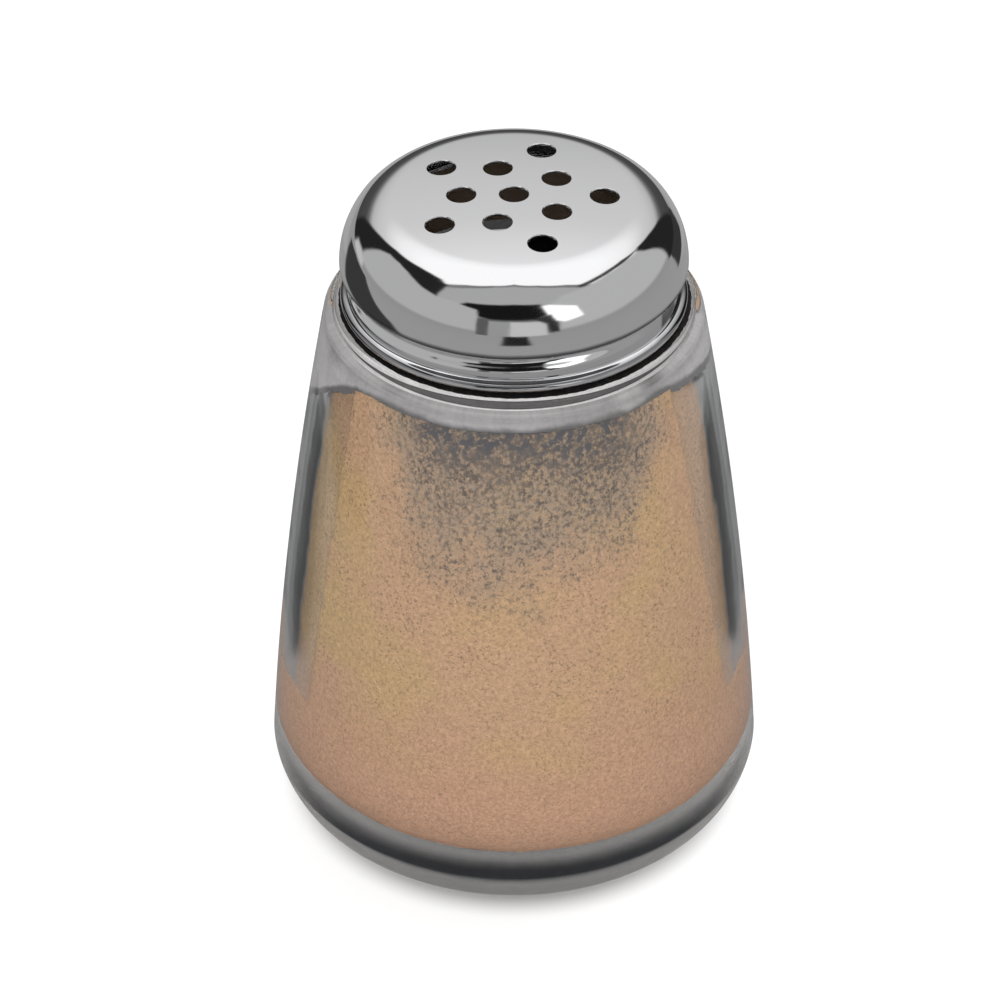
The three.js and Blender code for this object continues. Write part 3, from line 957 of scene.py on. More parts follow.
def handling_group():
    """Smudges and faint unevenness that surfaces pick up in use."""
    graph, given, out = shader_group(
        "handling_marks",
        {
            "Smudge size": 0.02,
            "Clean roughness": 0.05,
            "Smudged roughness": 0.12,
            "Wave size": 0.01,
        },
        ("Roughness", "Height"),
    )
    place = given["Vector"]
    smudge = graph.noise(place, graph.math("DIVIDE", 1.0, given["Smudge size"]), 4.0, 0.6)
    clean, smudged = given["Clean roughness"], given["Smudged roughness"]
    graph.feed(out["Roughness"], graph.ramp(smudge, 0.45, 0.75, clean, smudged))
    wave = graph.noise(place, graph.math("DIVIDE", 1.0, given["Wave size"]), 1.0)
    graph.feed(out["Height"], wave)
    return graph.tree


def powder_group():
    """Cloudy paleness, roughness and height of fine powder."""
    graph, given, out = shader_group(
        "powder_cloud",
        {
            "Scale": 150.0,
            "Detail": 3.0,
            "Dark below": 0.3,
            "Pale above": 0.7,
            "Darkest": 0.8,
            "Palest": 1.0,
            "Least roughness": 0.9,
            "Most roughness": 1.0,
        },
        ("Level", "Roughness", "Height"),
    )
    cloud = graph.noise(given["Vector"], given["Scale"], given["Detail"])
    ends = [given[name] for name in ("Dark below", "Pale above", "Darkest", "Palest")]
    graph.feed(out["Level"], graph.ramp(cloud, *ends))
    least, most = given["Least roughness"], given["Most roughness"]
    graph.feed(out["Roughness"], graph.ramp(cloud, 0.3, 0.7, least, most))
    graph.feed(out["Height"], cloud)
    return graph.tree


def new_material(name):
    """A material with an empty tree, as the material, its graph and its object coordinates."""
    material = bpy.data.materials.new(name)
    material.use_nodes = True
    material.node_tree.nodes.clear()
    graph = Graph(material.node_tree)
    place = graph.add("ShaderNodeTexCoord").outputs["Object"]
    return material, graph, place


def shared_tree(name, maker):
    """The node tree of this name, made when it is first needed."""
    return bpy.data.node_groups.get(name) or maker()


def marks(graph, place, smudge, clean, smudged, wave):
    """The roughness and height that handling leaves on a surface."""
    node = graph.add(
        "ShaderNodeGroup",
        {
            "Vector": place,
            "Smudge size": smudge,
            "Clean roughness": clean,
            "Smudged roughness": smudged,
            "Wave size": wave,
        },
        node_tree=shared_tree("handling_marks", handling_group),
    )
    return node.outputs["Roughness"], node.outputs["Height"]


def powder(graph, place, scale, detail, level, rough=(0.9, 1.0)):
    """The level, roughness and height of powder: level is its two bounds, then dark and pale."""
    bounds = dict(zip(("Dark below", "Pale above", "Darkest", "Palest"), level))
    node = graph.add(
        "ShaderNodeGroup",
        {
            "Vector": place,
            "Scale": scale,
            "Detail": detail,
            **bounds,
            "Least roughness": rough[0],
            "Most roughness": rough[1],
        },
        node_tree=shared_tree("powder_cloud", powder_group),
    )
    return [node.outputs[name] for name in ("Level", "Roughness", "Height")]


def bump(graph, height, distance, strength):
    """A normal from a height."""
    inputs = {"Height": height, "Distance": distance, "Strength": strength}
    return graph.add("ShaderNodeBump", inputs).outputs[0]


def coat(material, graph, **inputs):
    """Ends a material with one surface, whose inputs are named with low lines for spaces."""
    named = {name.replace("_", " "): value for name, value in inputs.items()}
    body = graph.add("ShaderNodeBsdfPrincipled", named)
    graph.add("ShaderNodeOutputMaterial", {"Surface": body.outputs[0]})
    return material


def blend_colour(graph, factor, first, second, mode="MIX"):
    """Two colours mixed."""
    node = graph.add("ShaderNodeMix", {}, data_type="RGBA", blend_type=mode)
    graph.feed(node.inputs["Factor"], factor)
    for socket, value in (("A", first), ("B", second)):
        target = [s for s in node.inputs if s.name == socket and s.type == "RGBA"][0]
        graph.feed(target, value if isinstance(value, bpy.types.NodeSocket) else (*value, 1.0))
    return [s for s in node.outputs if s.type == "RGBA"][0]


def dimmed(graph, tint, level):
    """A colour times a brightness."""
    shades = graph.add("ShaderNodeCombineColor", {0: level, 1: level, 2: level}).outputs[0]
    return blend_colour(graph, 1.0, tint, shades, "MULTIPLY")


def polished_glass(finish):
    """Clear pressed glass that lets lamp light through to what it holds."""
    material, graph, place = new_material("polished_glass")
    rough, height = marks(graph, place, 14 * MM, 0.0, 0.04, 9 * MM)
    body = graph.add(
        "ShaderNodeBsdfPrincipled",
        {
            "Base Color": (*finish.glass, 1.0),
            "Roughness": rough,
            "IOR": 1.5,
            "Transmission Weight": 1.0,
            "Normal": bump(graph, height, 0.25 * MM, 0.12),
        },
    )
    open_air = graph.add("ShaderNodeBsdfTransparent", {"Color": (0.97, 0.98, 0.98, 1.0)})
    path = graph.add("ShaderNodeLightPath").outputs
    through = graph.math("MAXIMUM", path["Is Shadow Ray"], path["Is Diffuse Ray"])
    pair = {0: through, 1: body.outputs[0], 2: open_air.outputs[0]}
    mixed = graph.add("ShaderNodeMixShader", pair)
    graph.add("ShaderNodeOutputMaterial", {"Surface": mixed.outputs[0]})
    return material


def bright_chrome(finish):
    """Chromed steel, mirror bright, with faint smudges, and darker in its two creases."""
    material, graph, place = new_material("bright_chrome")
    rough, height = marks(graph, place, 16 * MM, 0.045, 0.1, 12 * MM)
    drift = graph.math("SUBTRACT", graph.noise(place, 180.0), 0.5)
    level = graph.math("ADD", graph.split(place)["Z"], graph.product(drift, 0.3 * MM))
    dull = None
    for crease, reach, most in CREASES:
        away = graph.math("ABSOLUTE", graph.math("SUBTRACT", level, crease))
        near = graph.ramp(away, 0.2 * reach, reach, most, 0.0)
        dull = near if dull is None else graph.math("MAXIMUM", dull, near)
    return coat(
        material,
        graph,
        Base_Color=blend_colour(graph, dull, finish.chrome, finish.crease_darkening),
        Metallic=1.0,
        Roughness=rough,
        Normal=bump(graph, height, 0.05 * MM, 0.1),
    )


def soft_seal(finish):
    """Dark soft plastic."""
    material, graph, place = new_material("soft_seal")
    rough, height = marks(graph, place, 3 * MM, 0.5, 0.65, 0.6 * MM)
    normal = bump(graph, height, 0.05 * MM, 0.3)
    return coat(material, graph, Base_Color=(*finish.seal, 1.0), Roughness=rough, Normal=normal)


def ground_spice(finish):
    """Tan powder with dark flakes and coarser grey grains that hang from its top in lobes, with
    painted shade of the lid up there and on its top, and painted light and shade underneath.
    """
    material, graph, place = new_material("ground_spice")
    parts = graph.split(place)

    # Broad drift of hue, then fine mottling
    patches = graph.ramp(graph.noise(place, 55.0), 0.4, 0.62)
    tan = blend_colour(graph, patches, finish.spice, finish.spice_yellow)
    heights = graph.math("ADD", parts["Z"], graph.product(graph.noise(place, 40.0), 0.02))
    low = graph.ramp(heights, 0.03, 0.055, 1.0, 0.0)
    tan = blend_colour(graph, low, tan, finish.spice_pink)
    mottle = graph.ramp(graph.noise(place, 1500.0, 3.0, 0.7), 0.3, 0.7, 0.8, 1.2, "LINEAR")
    fine = graph.ramp(graph.noise(place, 3200.0, 1.0), 0.3, 0.7, 0.9, 1.1, "LINEAR")
    tan = dimmed(graph, tan, graph.product(mottle, fine))

    # Fine dark flakes, ragged, and thicker in the middle of the jar's height
    ragged = graph.ramp(graph.noise(place, 1900.0, 2.0, 0.6), 0.56, 0.66)
    spread = graph.ramp(graph.noise(place, 130.0), 0.35, 0.65, 0.35, 0.8)
    middle = graph.ramp(parts["Z"], 0.02, 0.05, 0.55, 1.0)
    speckled = blend_colour(graph, graph.product(ragged, spread, middle), tan, finish.speck)

    # Coarse grains and painted shade of the lid: lobes round the jar that hang from the top,
    # lowest at the front, with husks thickest up there
    around = graph.math("ARCTAN2", parts["X"], graph.product(parts["Y"], -1.0))
    lobe = graph.math("SINE", graph.product(graph.math("SUBTRACT", around, 0.05), 1.5))
    edge = graph.product(graph.math("POWER", graph.math("ABSOLUTE", lobe), 6.0), 0.034)
    edge = graph.math("ADD", edge, 0.063)
    wander = graph.math("SUBTRACT", graph.noise(place, 90.0, 3.0), 0.5)
    edge = graph.math("ADD", edge, graph.product(wander, 0.03))
    above = graph.math("SUBTRACT", parts["Z"], edge)
    grain_and_lid_shade_zone = graph.ramp(above, -0.004, 0.012)
    coarse = graph.ramp(graph.noise(place, 1000.0, 2.0, 0.6), 0.35, 0.6, 0.55, 1.0)
    skin = blend_colour(graph, graph.product(grain_and_lid_shade_zone, coarse), speckled, finish.coarse)
    flat = graph.add(
        "ShaderNodeMapping", {"Vector": place, "Scale": (1.0, 1.0, 0.8)}, vector_type="POINT"
    ).outputs[0]
    bar = graph.math("SUBTRACT", 0.6, graph.ramp(above, -0.004, 0.026, 0.0, 0.16, "LINEAR"))
    husks = graph.math("SUBTRACT", graph.noise(flat, 1500.0, 3.0, 0.75), bar)
    husks = graph.product(graph.ramp(husks, -0.1, 0.13), graph.ramp(above, -0.01, 0.004))
    cloud = graph.ramp(graph.noise(place, 260.0, 3.0), 0.35, 0.65, 0.7, 1.0)
    skin = blend_colour(graph, graph.product(husks, cloud), skin, finish.husk_and_lid_shade)
    # Painted shade of the lid: the darkest grains in the band right under the neck
    lid_shade_grains = graph.product(graph.ramp(above, 0.014, 0.028), graph.ramp(parts["Z"], 0.078, 0.09))
    grit = graph.ramp(graph.noise(place, 750.0, 2.0, 0.7), 0.42, 0.58, 0.1, 1.0)
    skin = blend_colour(graph, graph.product(lid_shade_grains, grit), skin, finish.lid_shade_grains)

    # Painted shade on the top of the filling, which no light reaches: a taper like the glass's, a
    # little inside it
    across, along = (graph.math("POWER", parts[axis], 2.0) for axis in "XY")
    reach = graph.math("SQRT", graph.math("ADD", across, along))
    taper = graph.math("ADD", reach, graph.product(parts["Z"], 0.17))
    inner = graph.ramp(taper, 42.5 * MM, 42.7 * MM, 1.0, 0.0)
    top = graph.product(inner, graph.ramp(parts["Z"], 71 * MM, 73 * MM))
    skin = blend_colour(graph, top, skin, finish.painted_shade)

    # The underside: painted light near one spot over the jar's floor and painted shade further
    # from it
    loose = graph.add(
        "ShaderNodeVectorMath", {0: place, 1: (0.0, 9.5 * MM, 8.9 * MM)}, operation="DISTANCE"
    )
    pressed = graph.ramp(loose.outputs["Value"], 18.6 * MM, 23.2 * MM)
    under = blend_colour(graph, pressed, finish.underside_painted_light, finish.underside_painted_shade)
    floor = graph.ramp(parts["Z"], 9.6 * MM, 10.6 * MM, 1.0, 0.0)
    skin = blend_colour(graph, floor, skin, under)

    grain = graph.product(graph.noise(place, 2600.0), 0.4)
    grain = graph.math("ADD", graph.noise(place, 900.0, 3.0), grain)
    return coat(
        material,
        graph,
        Base_Color=skin,
        Roughness=graph.ramp(graph.noise(place, 400.0), 0.3, 0.7, 0.85, 1.0),
        Specular_IOR_Level=0.2,
        Normal=bump(graph, grain, 0.35 * MM, 0.6),
    )


def clinging_dust(finish):
    """Pale fine dust that darkens into the spice, with painted glare where the shoulder shines,
    rings of painted highlight and shade where the neck begins, and painted shade on its inner
    face.
    """
    material, graph, place = new_material("clinging_dust")
    level, rough, cloud = powder(graph, place, 160.0, 3.0, (0.35, 0.65, 0.92, 1.06))
    fine, _, grains = powder(graph, place, 1400.0, 2.0, (0.35, 0.65, 0.95, 1.05))
    above = graph.add("ShaderNodeAttribute", attribute_name=ABOVE_SPICE).outputs["Fac"]
    fade = graph.product(graph.math("SUBTRACT", cloud, 0.5), 1.5 * MM)
    fade = graph.ramp(graph.math("ADD", above, fade), -0.1 * MM, 0.8 * MM, 0.35, 1.0)
    level = graph.product(level, fine, fade)
    height = graph.split(place)["Z"]
    # Painted highlight and painted shade rings where the neck begins
    for low, high, left in GLINT_AND_SHADE_RINGS:
        level = graph.product(level, graph.ramp(height, low, high, 1.0, left))
    # Painted shade: the face towards the inside of the jar is drawn near black
    side = graph.add("ShaderNodeAttribute", attribute_name=GLASS_SIDE).outputs["Fac"]
    level = graph.product(level, graph.ramp(side, 0.4, 0.6, 0.05, 1.0))
    return coat(
        material,
        graph,
        Base_Color=dimmed(graph, finish.dust, level),
        Roughness=rough,
        Specular_IOR_Level=0.1,
        Normal=bump(graph, grains, 0.1 * MM, 0.4),
    )


def neck_powder(jar, finish):
    """Fine powder on the neck's inside: pale towards the glass, and brown towards the air as
    painted shade inside the lid.
    """
    material, graph, place = new_material("neck_powder")
    level, rough, cloud = powder(graph, place, 150.0, 4.0, (0.3, 0.7, 0.8, 1.05), (0.85, 1.0))
    flat = graph.add("ShaderNodeVectorMath", {0: place, 1: (1.0, 1.0, 0.0)}, operation="MULTIPLY")
    reach = graph.add("ShaderNodeVectorMath", {0: flat.outputs[0]}, operation="LENGTH")
    wall, blur = jar.neck_radius - jar.neck_wall, 0.02 * MM
    pale = graph.ramp(reach.outputs["Value"], wall - blur, wall + blur)
    tint = blend_colour(graph, pale, finish.film, finish.dust)
    return coat(
        material,
        graph,
        Base_Color=dimmed(graph, tint, level),
        Roughness=rough,
        Specular_IOR_Level=0.1,
        Normal=bump(graph, cloud, 0.1 * MM, 0.4),
    )


def caked_grime(finish):
    """Painted shadow in the gap under the lid's edge: near black and uneven, with a caked bump."""
    material, graph, place = new_material("caked_grime")
    level, rough, cake = powder(graph, place, 900.0, 3.0, (0.45, 0.75, 0.0, 0.4), (0.7, 0.95))
    return coat(
        material,
        graph,
        Base_Color=blend_colour(graph, level, finish.crevice_shadow, finish.painted_shade),
        Roughness=rough,
        Specular_IOR_Level=0.1,
        Normal=bump(graph, cake, 0.1 * MM, 0.5),
    )


def settle(piece, body, node):
    """Ties a finished piece to its body and hides the CAD node that it stands for."""
    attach(piece, body)
    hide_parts(node)


class SHAKER_OT_glass_jar(bpy.types.Operator):
    """Makes the glass jar with its threaded neck"""

    bl_idname = "shaker.glass_jar"
    bl_label = "Glass jar"

    def execute(self, context):
        jar, thread = context.scene.shaker_jar, context.scene.shaker_thread
        piece = profile_piece("shaker_jar", jar_rows(jar, thread))
        apply_tree(
            piece,
            shared_tree("turned_form", turned_form_tree),
            segments=jar.segments,
            crease_angle=math.radians(60),
            thread_pitch=thread.pitch,
            thread_height=thread.neck_height,
            thread_above=thread.neck_width / 2,
            thread_below=thread.neck_width / 2,
            thread_crest=thread.neck_crest,
            thread_start=thread.neck_start,
            thread_start_turn=-thread.neck_lead,
            thread_turns=thread.neck_turns,
            thread_fade=thread.fade,
            material=polished_glass(context.scene.shaker_finish),
        )
        settle(piece, "jar", "glass_jar")
        return {"FINISHED"}


class SHAKER_OT_spice(bpy.types.Operator):
    """Makes the ground spice in the jar and the old powder and dust on its glass"""

    bl_idname = "shaker.spice"
    bl_label = "Ground spice"

    def execute(self, context):
        scene = context.scene
        jar, fill, finish = scene.shaker_jar, scene.shaker_fill, scene.shaker_finish
        columns = spice_grid(jar, fill)
        piece = closed_grid_piece("shaker_spice", columns)
        apply_tree(
            piece,
            shared_tree("loose_powder", loose_powder_tree),
            lump_size=fill.lump_size,
            lump_depth=fill.lump_depth,
            grain_size=fill.grain_size,
            grain_depth=fill.grain_depth,
            crease_angle=math.radians(50),
            material=ground_spice(finish),
        )
        settle(piece, "jar", "spice_fill")
        for name, grid, material in (
            ("shaker_dust", dust_and_glare_grid(jar, fill, columns), clinging_dust(finish)),
            ("shaker_grime", crevice_shadow_grid(jar, fill), caked_grime(finish)),
            ("shaker_neck_film", neck_shade_film_grid(jar, fill), neck_powder(jar, finish)),
        ):
            film = closed_grid_piece(name, grid)
            film.data.materials.append(material)
            if name == "shaker_dust":
                mark_dust(film, jar, columns)
                film.data.shade_smooth()
            settle(film, "jar", "spice_fill")
        return {"FINISHED"}


class SHAKER_OT_sealing_ring(bpy.types.Operator):
    """Makes the soft ring between the rim and the lid"""

    bl_idname = "shaker.sealing_ring"
    bl_label = "Sealing ring"

    def execute(self, context):
        jar, fill = context.scene.shaker_jar, context.scene.shaker_fill
        piece = profile_piece("shaker_seal", seal_rows(fill))
        apply_tree(
            piece,
            shared_tree("turned_form", turned_form_tree),
            segments=jar.segments,
            crease_angle=math.radians(60),
            thread_pitch=1.0,
            material=soft_seal(context.scene.shaker_finish),
        )
        settle(piece, "ring", "sealing_ring")
        return {"FINISHED"}


class SHAKER_OT_lid(bpy.types.Operator):
    """Makes the pierced lid with its rolled thread"""

    bl_idname = "shaker.lid"
    bl_label = "Pierced lid"

    def execute(self, context):
        scene = context.scene
        lid, holes, thread = scene.shaker_lid, scene.shaker_holes, scene.shaker_thread
        chrome = bright_chrome(scene.shaker_finish)
        piece = profile_piece("shaker_lid", lid_rows(lid, thread))
        apply_tree(
            piece,
            shared_tree("turned_form", turned_form_tree),
            segments=lid.segments,
            crease_angle=math.radians(60),
            thread_pitch=thread.pitch,
            thread_height=thread.lid_depth,
            thread_above=thread.lid_above,
            thread_below=thread.lid_below,
            thread_crest=thread.lid_crest,
            thread_start=thread.lid_start,
            thread_turns=thread.lid_turns,
            thread_fade=thread.fade,
            material=chrome,
        )
        apply_tree(
            piece,
            shared_tree("shaking_holes", shaking_holes_tree),
            hole_radius=holes.radius,
            inner_ring=holes.inner_ring,
            outer_ring=holes.outer_ring,
            holes_per_ring=holes.per_ring,
            rim_rounding=holes.rim_round,
            hole_segments=holes.segments,
            crown_top=lid.top,
            crown_radius=lid.crown_radius,
            crown_rise=lid.crown_rise,
            sheet=lid.wall,
            crease_angle=math.radians(22),
            material=chrome,
        )
        settle(piece, "lid", "perforated_lid")
        return {"FINISHED"}


# What the chrome and the glass see round the object, painted on a dome and on a sheet over the
# floor that nothing else sees. Azimuth 0 is behind the object and grows to the right, so 180 is in
# front of it. Elevation is up from the floor. Brightness 1 is white in a perfect mirror.
# The rises and reaches give (elevation, brightness) and (metres from the axis, brightness).
DOME_RISE = (
    (-5, 0.06), (12, 0.08), (17, 0.17), (23, 0.56), (29, 0.66), (36, 0.73), (46, 1.06), (58, 1.2),
)
DOME_PATCHES = (
    # brightness, softness in degrees, corners as (azimuth, elevation)
    (0.22, 4, ((112, 46), (122, 62), (142, 74), (180, 81), (216, 74), (236, 64), (251, 46))),
    (0.46, 4, ((119, 46), (130, 60), (150, 71), (180, 76), (206, 72), (226, 61), (243, 46))),
    (0.46, 3, ((119, 20), (119, 50), (243, 50), (243, 20))),
    (0.34, 6, ((56, -8), (58, 6), (300, 6), (304, -8))),
    (
        0.5,
        3,
        ((203, 0), (203, 29), (216, 33), (236, 31), (262, 38), (292, 37), (298, 20), (299, 0)),
    ),
    (0.53, 4, ((60, 0), (62, 20), (64, 37), (75, 43), (95, 47), (140, 47), (152, 38), (152, 0))),
    (
        0.02,
        3,
        (
            (241, 52), (256, 57), (270, 56), (282, 53), (292, 48), (302, 43), (311, 32), (317, 20),
            (321, 8), (323, -6), (312, -6), (308, 3), (300, 5), (297, 14), (295, 27), (292, 35),
            (282, 38), (270, 38), (260, 36), (250, 33), (236, 31), (238, 44),
        ),
    ),
    (
        0.06,
        2.5,
        (
            (58, 38), (70, 47), (85, 51), (100, 53), (120, 54), (122, 49), (100, 48), (85, 46),
            (72, 42),
        ),
    ),
    (
        0.02,
        3,
        ((65, 30), (63, 38), (57, 39), (48, 31), (41, 20), (37, 6), (34, -6), (61, -6), (61, 8)),
    ),
    (0.6, 3, ((293, -6), (294, 1), (302, 4), (309, 2), (312, -6))),
    (1.5, 2, ((138, 26), (136, 11), (148, 9), (156, 14), (162, 35), (155, 36), (146, 31))),
    (
        0.01,
        2.5,
        (
            (161, 39), (180, 41), (196, 39), (214, 36), (218, 31), (205, 28), (203, 19), (195, 17),
            (166, 17), (158, 22),
        ),
    ),
    (0.62, 2, ((160, 14), (183, 15), (183, -6), (159, -6))),
    (0.36, 2, ((183, 15), (196, 15), (196, -6), (183, -6))),
    (0.03, 1.5, ((156, 22), (167, 17), (160, 10), (159, -2), (152, -2), (153, 10))),
    (0.12, 2, ((196, 17), (203, 17), (203, -6), (196, -6))),
)
TABLE_RISE = ((0.0, 0.24), (0.12, 0.26), (0.2, 0.36), (0.35, 0.36), (1.5, 0.34))
TABLE_PATCHES = (
    # brightness, softness in metres, corners as (x, y)
    (0.42, 0.03, ((-0.25, 0.21), (0.25, 0.21), (0.5, 1.6), (-0.5, 1.6))),
    (
        0.045,
        0.02,
        (
            (-0.17, -0.05), (-0.235, -0.045), (-0.36, 0.02), (-0.45, 0.06), (-0.7, 0.17),
            (-1.0, 0.3), (-0.9, 0.6), (-0.5, 0.5), (-0.15, 0.14),
        ),
    ),
    (0.04, 0.02, ((0.2, 0.3), (0.27, 0.19), (1.4, 0.85), (0.8, 1.4))),
    (0.02, 0.03, ((-0.05, -0.38), (0.07, -0.38), (0.22, -1.6), (-0.17, -1.6))),
    (
        0.07,
        0.008,
        (
            (-0.066, 0.025), (-0.068, 0.045), (-0.094, 0.092), (-0.109, 0.12), (-0.122, 0.112),
            (-0.15, 0.07), (-0.11, 0.02), (-0.08, 0.015),
        ),
    ),
    (
        0.07,
        0.008,
        (
            (0.067, 0.03), (0.068, 0.05), (0.094, 0.095), (0.112, 0.118), (0.13, 0.1),
            (0.15, 0.07), (0.1, 0.02), (0.08, 0.02),
        ),
    ),
    (0.03, 0.01, ((-0.06, 0.138), (0.06, 0.138), (0.06, 0.185), (-0.06, 0.185))),
)


def inside_share(places, corners, softness):
    """How far each place is inside a polygon: nought outside, one inside, soft at its edge."""
    corners = np.array(corners, dtype=float)
    nearest = np.full(len(places), np.inf)
    inside = np.zeros(len(places), dtype=bool)
    for start, end in zip(corners, np.roll(corners, -1, axis=0)):
        run = end - start
        away = places - start
        share = np.clip(away @ run / (run @ run), 0.0, 1.0)
        nearest = np.minimum(nearest, np.linalg.norm(away - share[:, None] * run, axis=1))
        crosses = (start[1] > places[:, 1]) != (end[1] > places[:, 1])
        if run[1]:
            across = start[0] + (places[:, 1] - start[1]) / run[1] * run[0]
            inside ^= crosses & (places[:, 0] < across)
    signed = np.where(inside, nearest, -nearest)
    share = np.clip(0.5 + signed / softness, 0.0, 1.0)
    return share * share * (3 - 2 * share)


def painted_sheet(name, vertices, columns, rows, glow):
    """A sheet with its own brightness at each corner, which only chrome and glass see."""
    sheet = link_mesh(name, vertices.tolist(), faces=grid_faces(columns, rows))
    mark_points(sheet, GLOW, glow)
    material, graph, _ = new_material(name)
    painted = graph.add("ShaderNodeAttribute", attribute_name=GLOW)
    light = graph.add("ShaderNodeEmission", {"Strength": painted.outputs["Fac"]})
    graph.add("ShaderNodeOutputMaterial", {"Surface": light.outputs[0]})
    sheet.data.materials.append(material)
    sheet.visible_camera = False
    sheet.visible_diffuse = False
    sheet.visible_shadow = False


def reflected_studio():
    """The dome and the sheet over the floor that the chrome and the glass see."""
    bearings = np.linspace(0.0, 360.0, STUDIO_COLUMNS, endpoint=False)
    rises = np.linspace(-4.5, 89.5, 76)
    azimuth, rise = (part.ravel() for part in np.meshgrid(bearings, rises, indexing="ij"))
    glow = np.interp(rise, *zip(*DOME_RISE))
    for brightness, softness, corners in DOME_PATCHES:
        cover = inside_share(np.stack([azimuth, rise], axis=1), corners, softness)
        glow += (brightness - glow) * cover
    turn, tilt = np.radians(azimuth), np.radians(rise)
    away = [np.cos(tilt) * np.sin(turn), np.cos(tilt) * np.cos(turn), np.sin(tilt)]
    dome = STUDIO_RADIUS * np.stack(away, axis=1) + (0.0, 0.0, JAR_HIGH.z)
    painted_sheet("stage_dome", dome, STUDIO_COLUMNS, len(rises), glow)

    reaches = np.geomspace(JAR_HIGH.x - 3.3 * MM, STUDIO_RADIUS, 120)
    azimuth, reach = (part.ravel() for part in np.meshgrid(bearings, reaches, indexing="ij"))
    turn = np.radians(azimuth)
    places = np.stack([reach * np.sin(turn), reach * np.cos(turn)], axis=1)
    glow = np.interp(reach, *zip(*TABLE_RISE))
    for brightness, softness, corners in TABLE_PATCHES:
        glow += (brightness - glow) * inside_share(places, corners, softness)
    table = np.column_stack([places, np.full(len(places), 0.3 * MM)])
    painted_sheet("stage_table", table, STUDIO_COLUMNS, len(reaches), glow)


def white_where_seen(graph, plain, seen):
    """Shows one shader to the camera, mirrors and glass, and another to the light's own paths."""
    path = graph.add("ShaderNodeLightPath").outputs
    glossy = graph.math("MAXIMUM", path["Is Glossy Ray"], path["Is Transmission Ray"])
    looked_at = graph.math("MAXIMUM", path["Is Camera Ray"], glossy)
    return graph.add("ShaderNodeMixShader", {0: looked_at, 1: plain, 2: seen}).outputs[0]


def studio_floor():
    """A wide pale floor that keeps the object's shadow, with a painted shadow under the jar's
    heel.
    """
    points = [spun([(FLOOR_RADIUS, FLOOR_LEVEL)], a)[0] for a in angles_round(FLOOR_CORNERS)]
    floor = link_mesh("stage_floor", points, faces=[tuple(range(FLOOR_CORNERS))])
    material, graph, place = new_material("stage_floor")
    plain = graph.add("ShaderNodeBsdfDiffuse", {"Color": (0.8, 0.8, 0.8, 1.0)})
    reach = graph.add("ShaderNodeVectorMath", {0: place}, operation="LENGTH").outputs["Value"]
    # Painted shadow: the floor's glow fades out under the jar's heel
    clear_of_painted_shadow = graph.ramp(reach, 33 * MM, 41 * MM)
    matt = graph.add("ShaderNodeBsdfDiffuse", {"Color": (0.3, 0.3, 0.3, 1.0)})
    glow = graph.add("ShaderNodeEmission", {"Strength": graph.product(clear_of_painted_shadow, 0.75)})
    seen = graph.add("ShaderNodeAddShader", {0: matt.outputs[0], 1: glow.outputs[0]})
    surface = white_where_seen(graph, plain.outputs[0], seen.outputs[0])
    graph.add("ShaderNodeOutputMaterial", {"Surface": surface})
    floor.data.materials.append(material)


def studio_sky(stage):
    """White where it is seen, and a plain even light otherwise."""
    world = bpy.data.worlds.new("studio_sky")
    world.use_nodes = True
    world.node_tree.nodes.clear()
    graph = Graph(world.node_tree)
    plain, seen = (
        graph.add("ShaderNodeBackground", {"Color": WHITE, "Strength": strength}).outputs[0]
        for strength in (stage.sky, 1.0)
    )
    surface = white_where_seen(graph, plain, seen)
    graph.add("ShaderNodeOutputWorld", {"Surface": surface})
    bpy.context.scene.world = world


def add_lamp(name, place, size, power):
    """A square lamp that points at the object and doesn't show in it."""
    data = bpy.data.lights.new(name, "AREA")
    data.energy = power
    data.shape = "SQUARE"
    data.size = size
    lamp = bpy.data.objects.new(name, data)
    lamp.location = place
    aim = Vector((0.0, 0.0, AIM_HEIGHT)) - Vector(place)
    lamp.rotation_euler = aim.to_track_quat("-Z", "Y").to_euler()
    lamp.visible_camera = False
    lamp.visible_glossy = False
    lamp.visible_transmission = False
    bpy.context.scene.collection.objects.link(lamp)


def add_camera(stage):
    """The camera at the photograph's angle."""
    data = bpy.data.cameras.new("stage_camera")
    data.lens = stage.lens
    data.sensor_width = 36.0
    data.shift_x = stage.shift_x
    data.shift_y = stage.shift_y
    data.clip_start = 0.01
    data.clip_end = 50.0
    camera = bpy.data.objects.new("stage_camera", data)
    camera.location = (
        0.0,
        -stage.distance * math.cos(stage.elevation),
        stage.aim + stage.distance * math.sin(stage.elevation),
    )
    camera.rotation_euler = (QUARTER - stage.elevation, 0.0, 0.0)
    bpy.context.scene.collection.objects.link(camera)
    bpy.context.scene.camera = camera


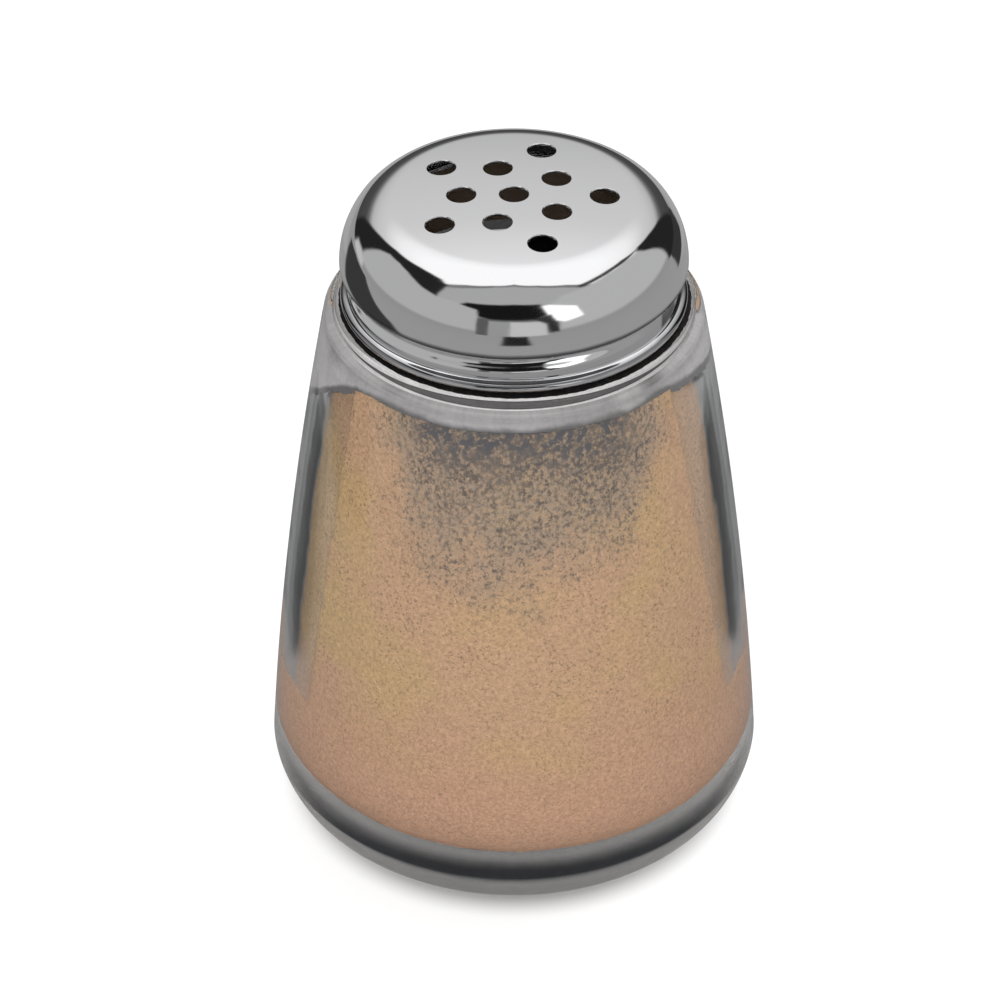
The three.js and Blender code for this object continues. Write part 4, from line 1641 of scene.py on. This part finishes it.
class SHAKER_OT_stage(bpy.types.Operator):
    """Makes the floor, the sky, the painted dome and table, the lamps and the camera"""

    bl_idname = "shaker.stage"
    bl_label = "Stage"

    def execute(self, context):
        stage = context.scene.shaker_stage
        studio_floor()
        studio_sky(stage)
        reflected_studio()
        add_lamp("key_lamp", (0.2, 0.35, 0.9), 0.7, stage.key)
        add_lamp("fill_lamp", (-0.05, -0.95, 0.55), 0.7, stage.fill)
        add_camera(stage)
        context.scene.view_settings.view_transform = "Standard"
        return {"FINISHED"}


OPERATORS = (
    SHAKER_OT_stage,
    SHAKER_OT_glass_jar,
    SHAKER_OT_spice,
    SHAKER_OT_sealing_ring,
    SHAKER_OT_lid,
)
SETTINGS = {
    "shaker_jar": JarSizes,
    "shaker_lid": LidSizes,
    "shaker_holes": HoleSizes,
    "shaker_thread": ThreadSizes,
    "shaker_fill": FillSizes,
    "shaker_finish": Finishes,
    "shaker_stage": StageSettings,
}


class SHAKER_PT_sidebar(bpy.types.Panel):
    """Lists the shaker's pieces and sizes"""

    bl_idname = "SHAKER_PT_sidebar"
    bl_label = "Spice shaker"
    bl_space_type = "VIEW_3D"
    bl_region_type = "UI"
    bl_category = "Shaker"

    def draw(self, context):
        """Draws a button for each operator, then every setting."""
        for operator in OPERATORS:
            self.layout.operator(operator.bl_idname)
        for name, group in SETTINGS.items():
            box = self.layout.box()
            box.label(text=group.__doc__)
            for setting in group.__annotations__:
                box.prop(getattr(context.scene, name), setting)


CLASSES = (*SETTINGS.values(), *OPERATORS, SHAKER_PT_sidebar)


def register():
    """Adds the classes and the scene's settings."""
    for kind in CLASSES:
        bpy.utils.register_class(kind)
    for name, group in SETTINGS.items():
        setattr(bpy.types.Scene, name, bpy.props.PointerProperty(type=group))


def unregister():
    """Takes the settings and the classes away."""
    for name in SETTINGS:
        delattr(bpy.types.Scene, name)
    for kind in reversed(CLASSES):
        bpy.utils.unregister_class(kind)


def main():
    """Builds the whole shaker on its stage."""
    register()
    for operator in OPERATORS:
        section, name = operator.bl_idname.split(".")
        getattr(getattr(bpy.ops, section), name)()
    bpy.context.view_layer.update()


if __name__ == "__main__":
    main()
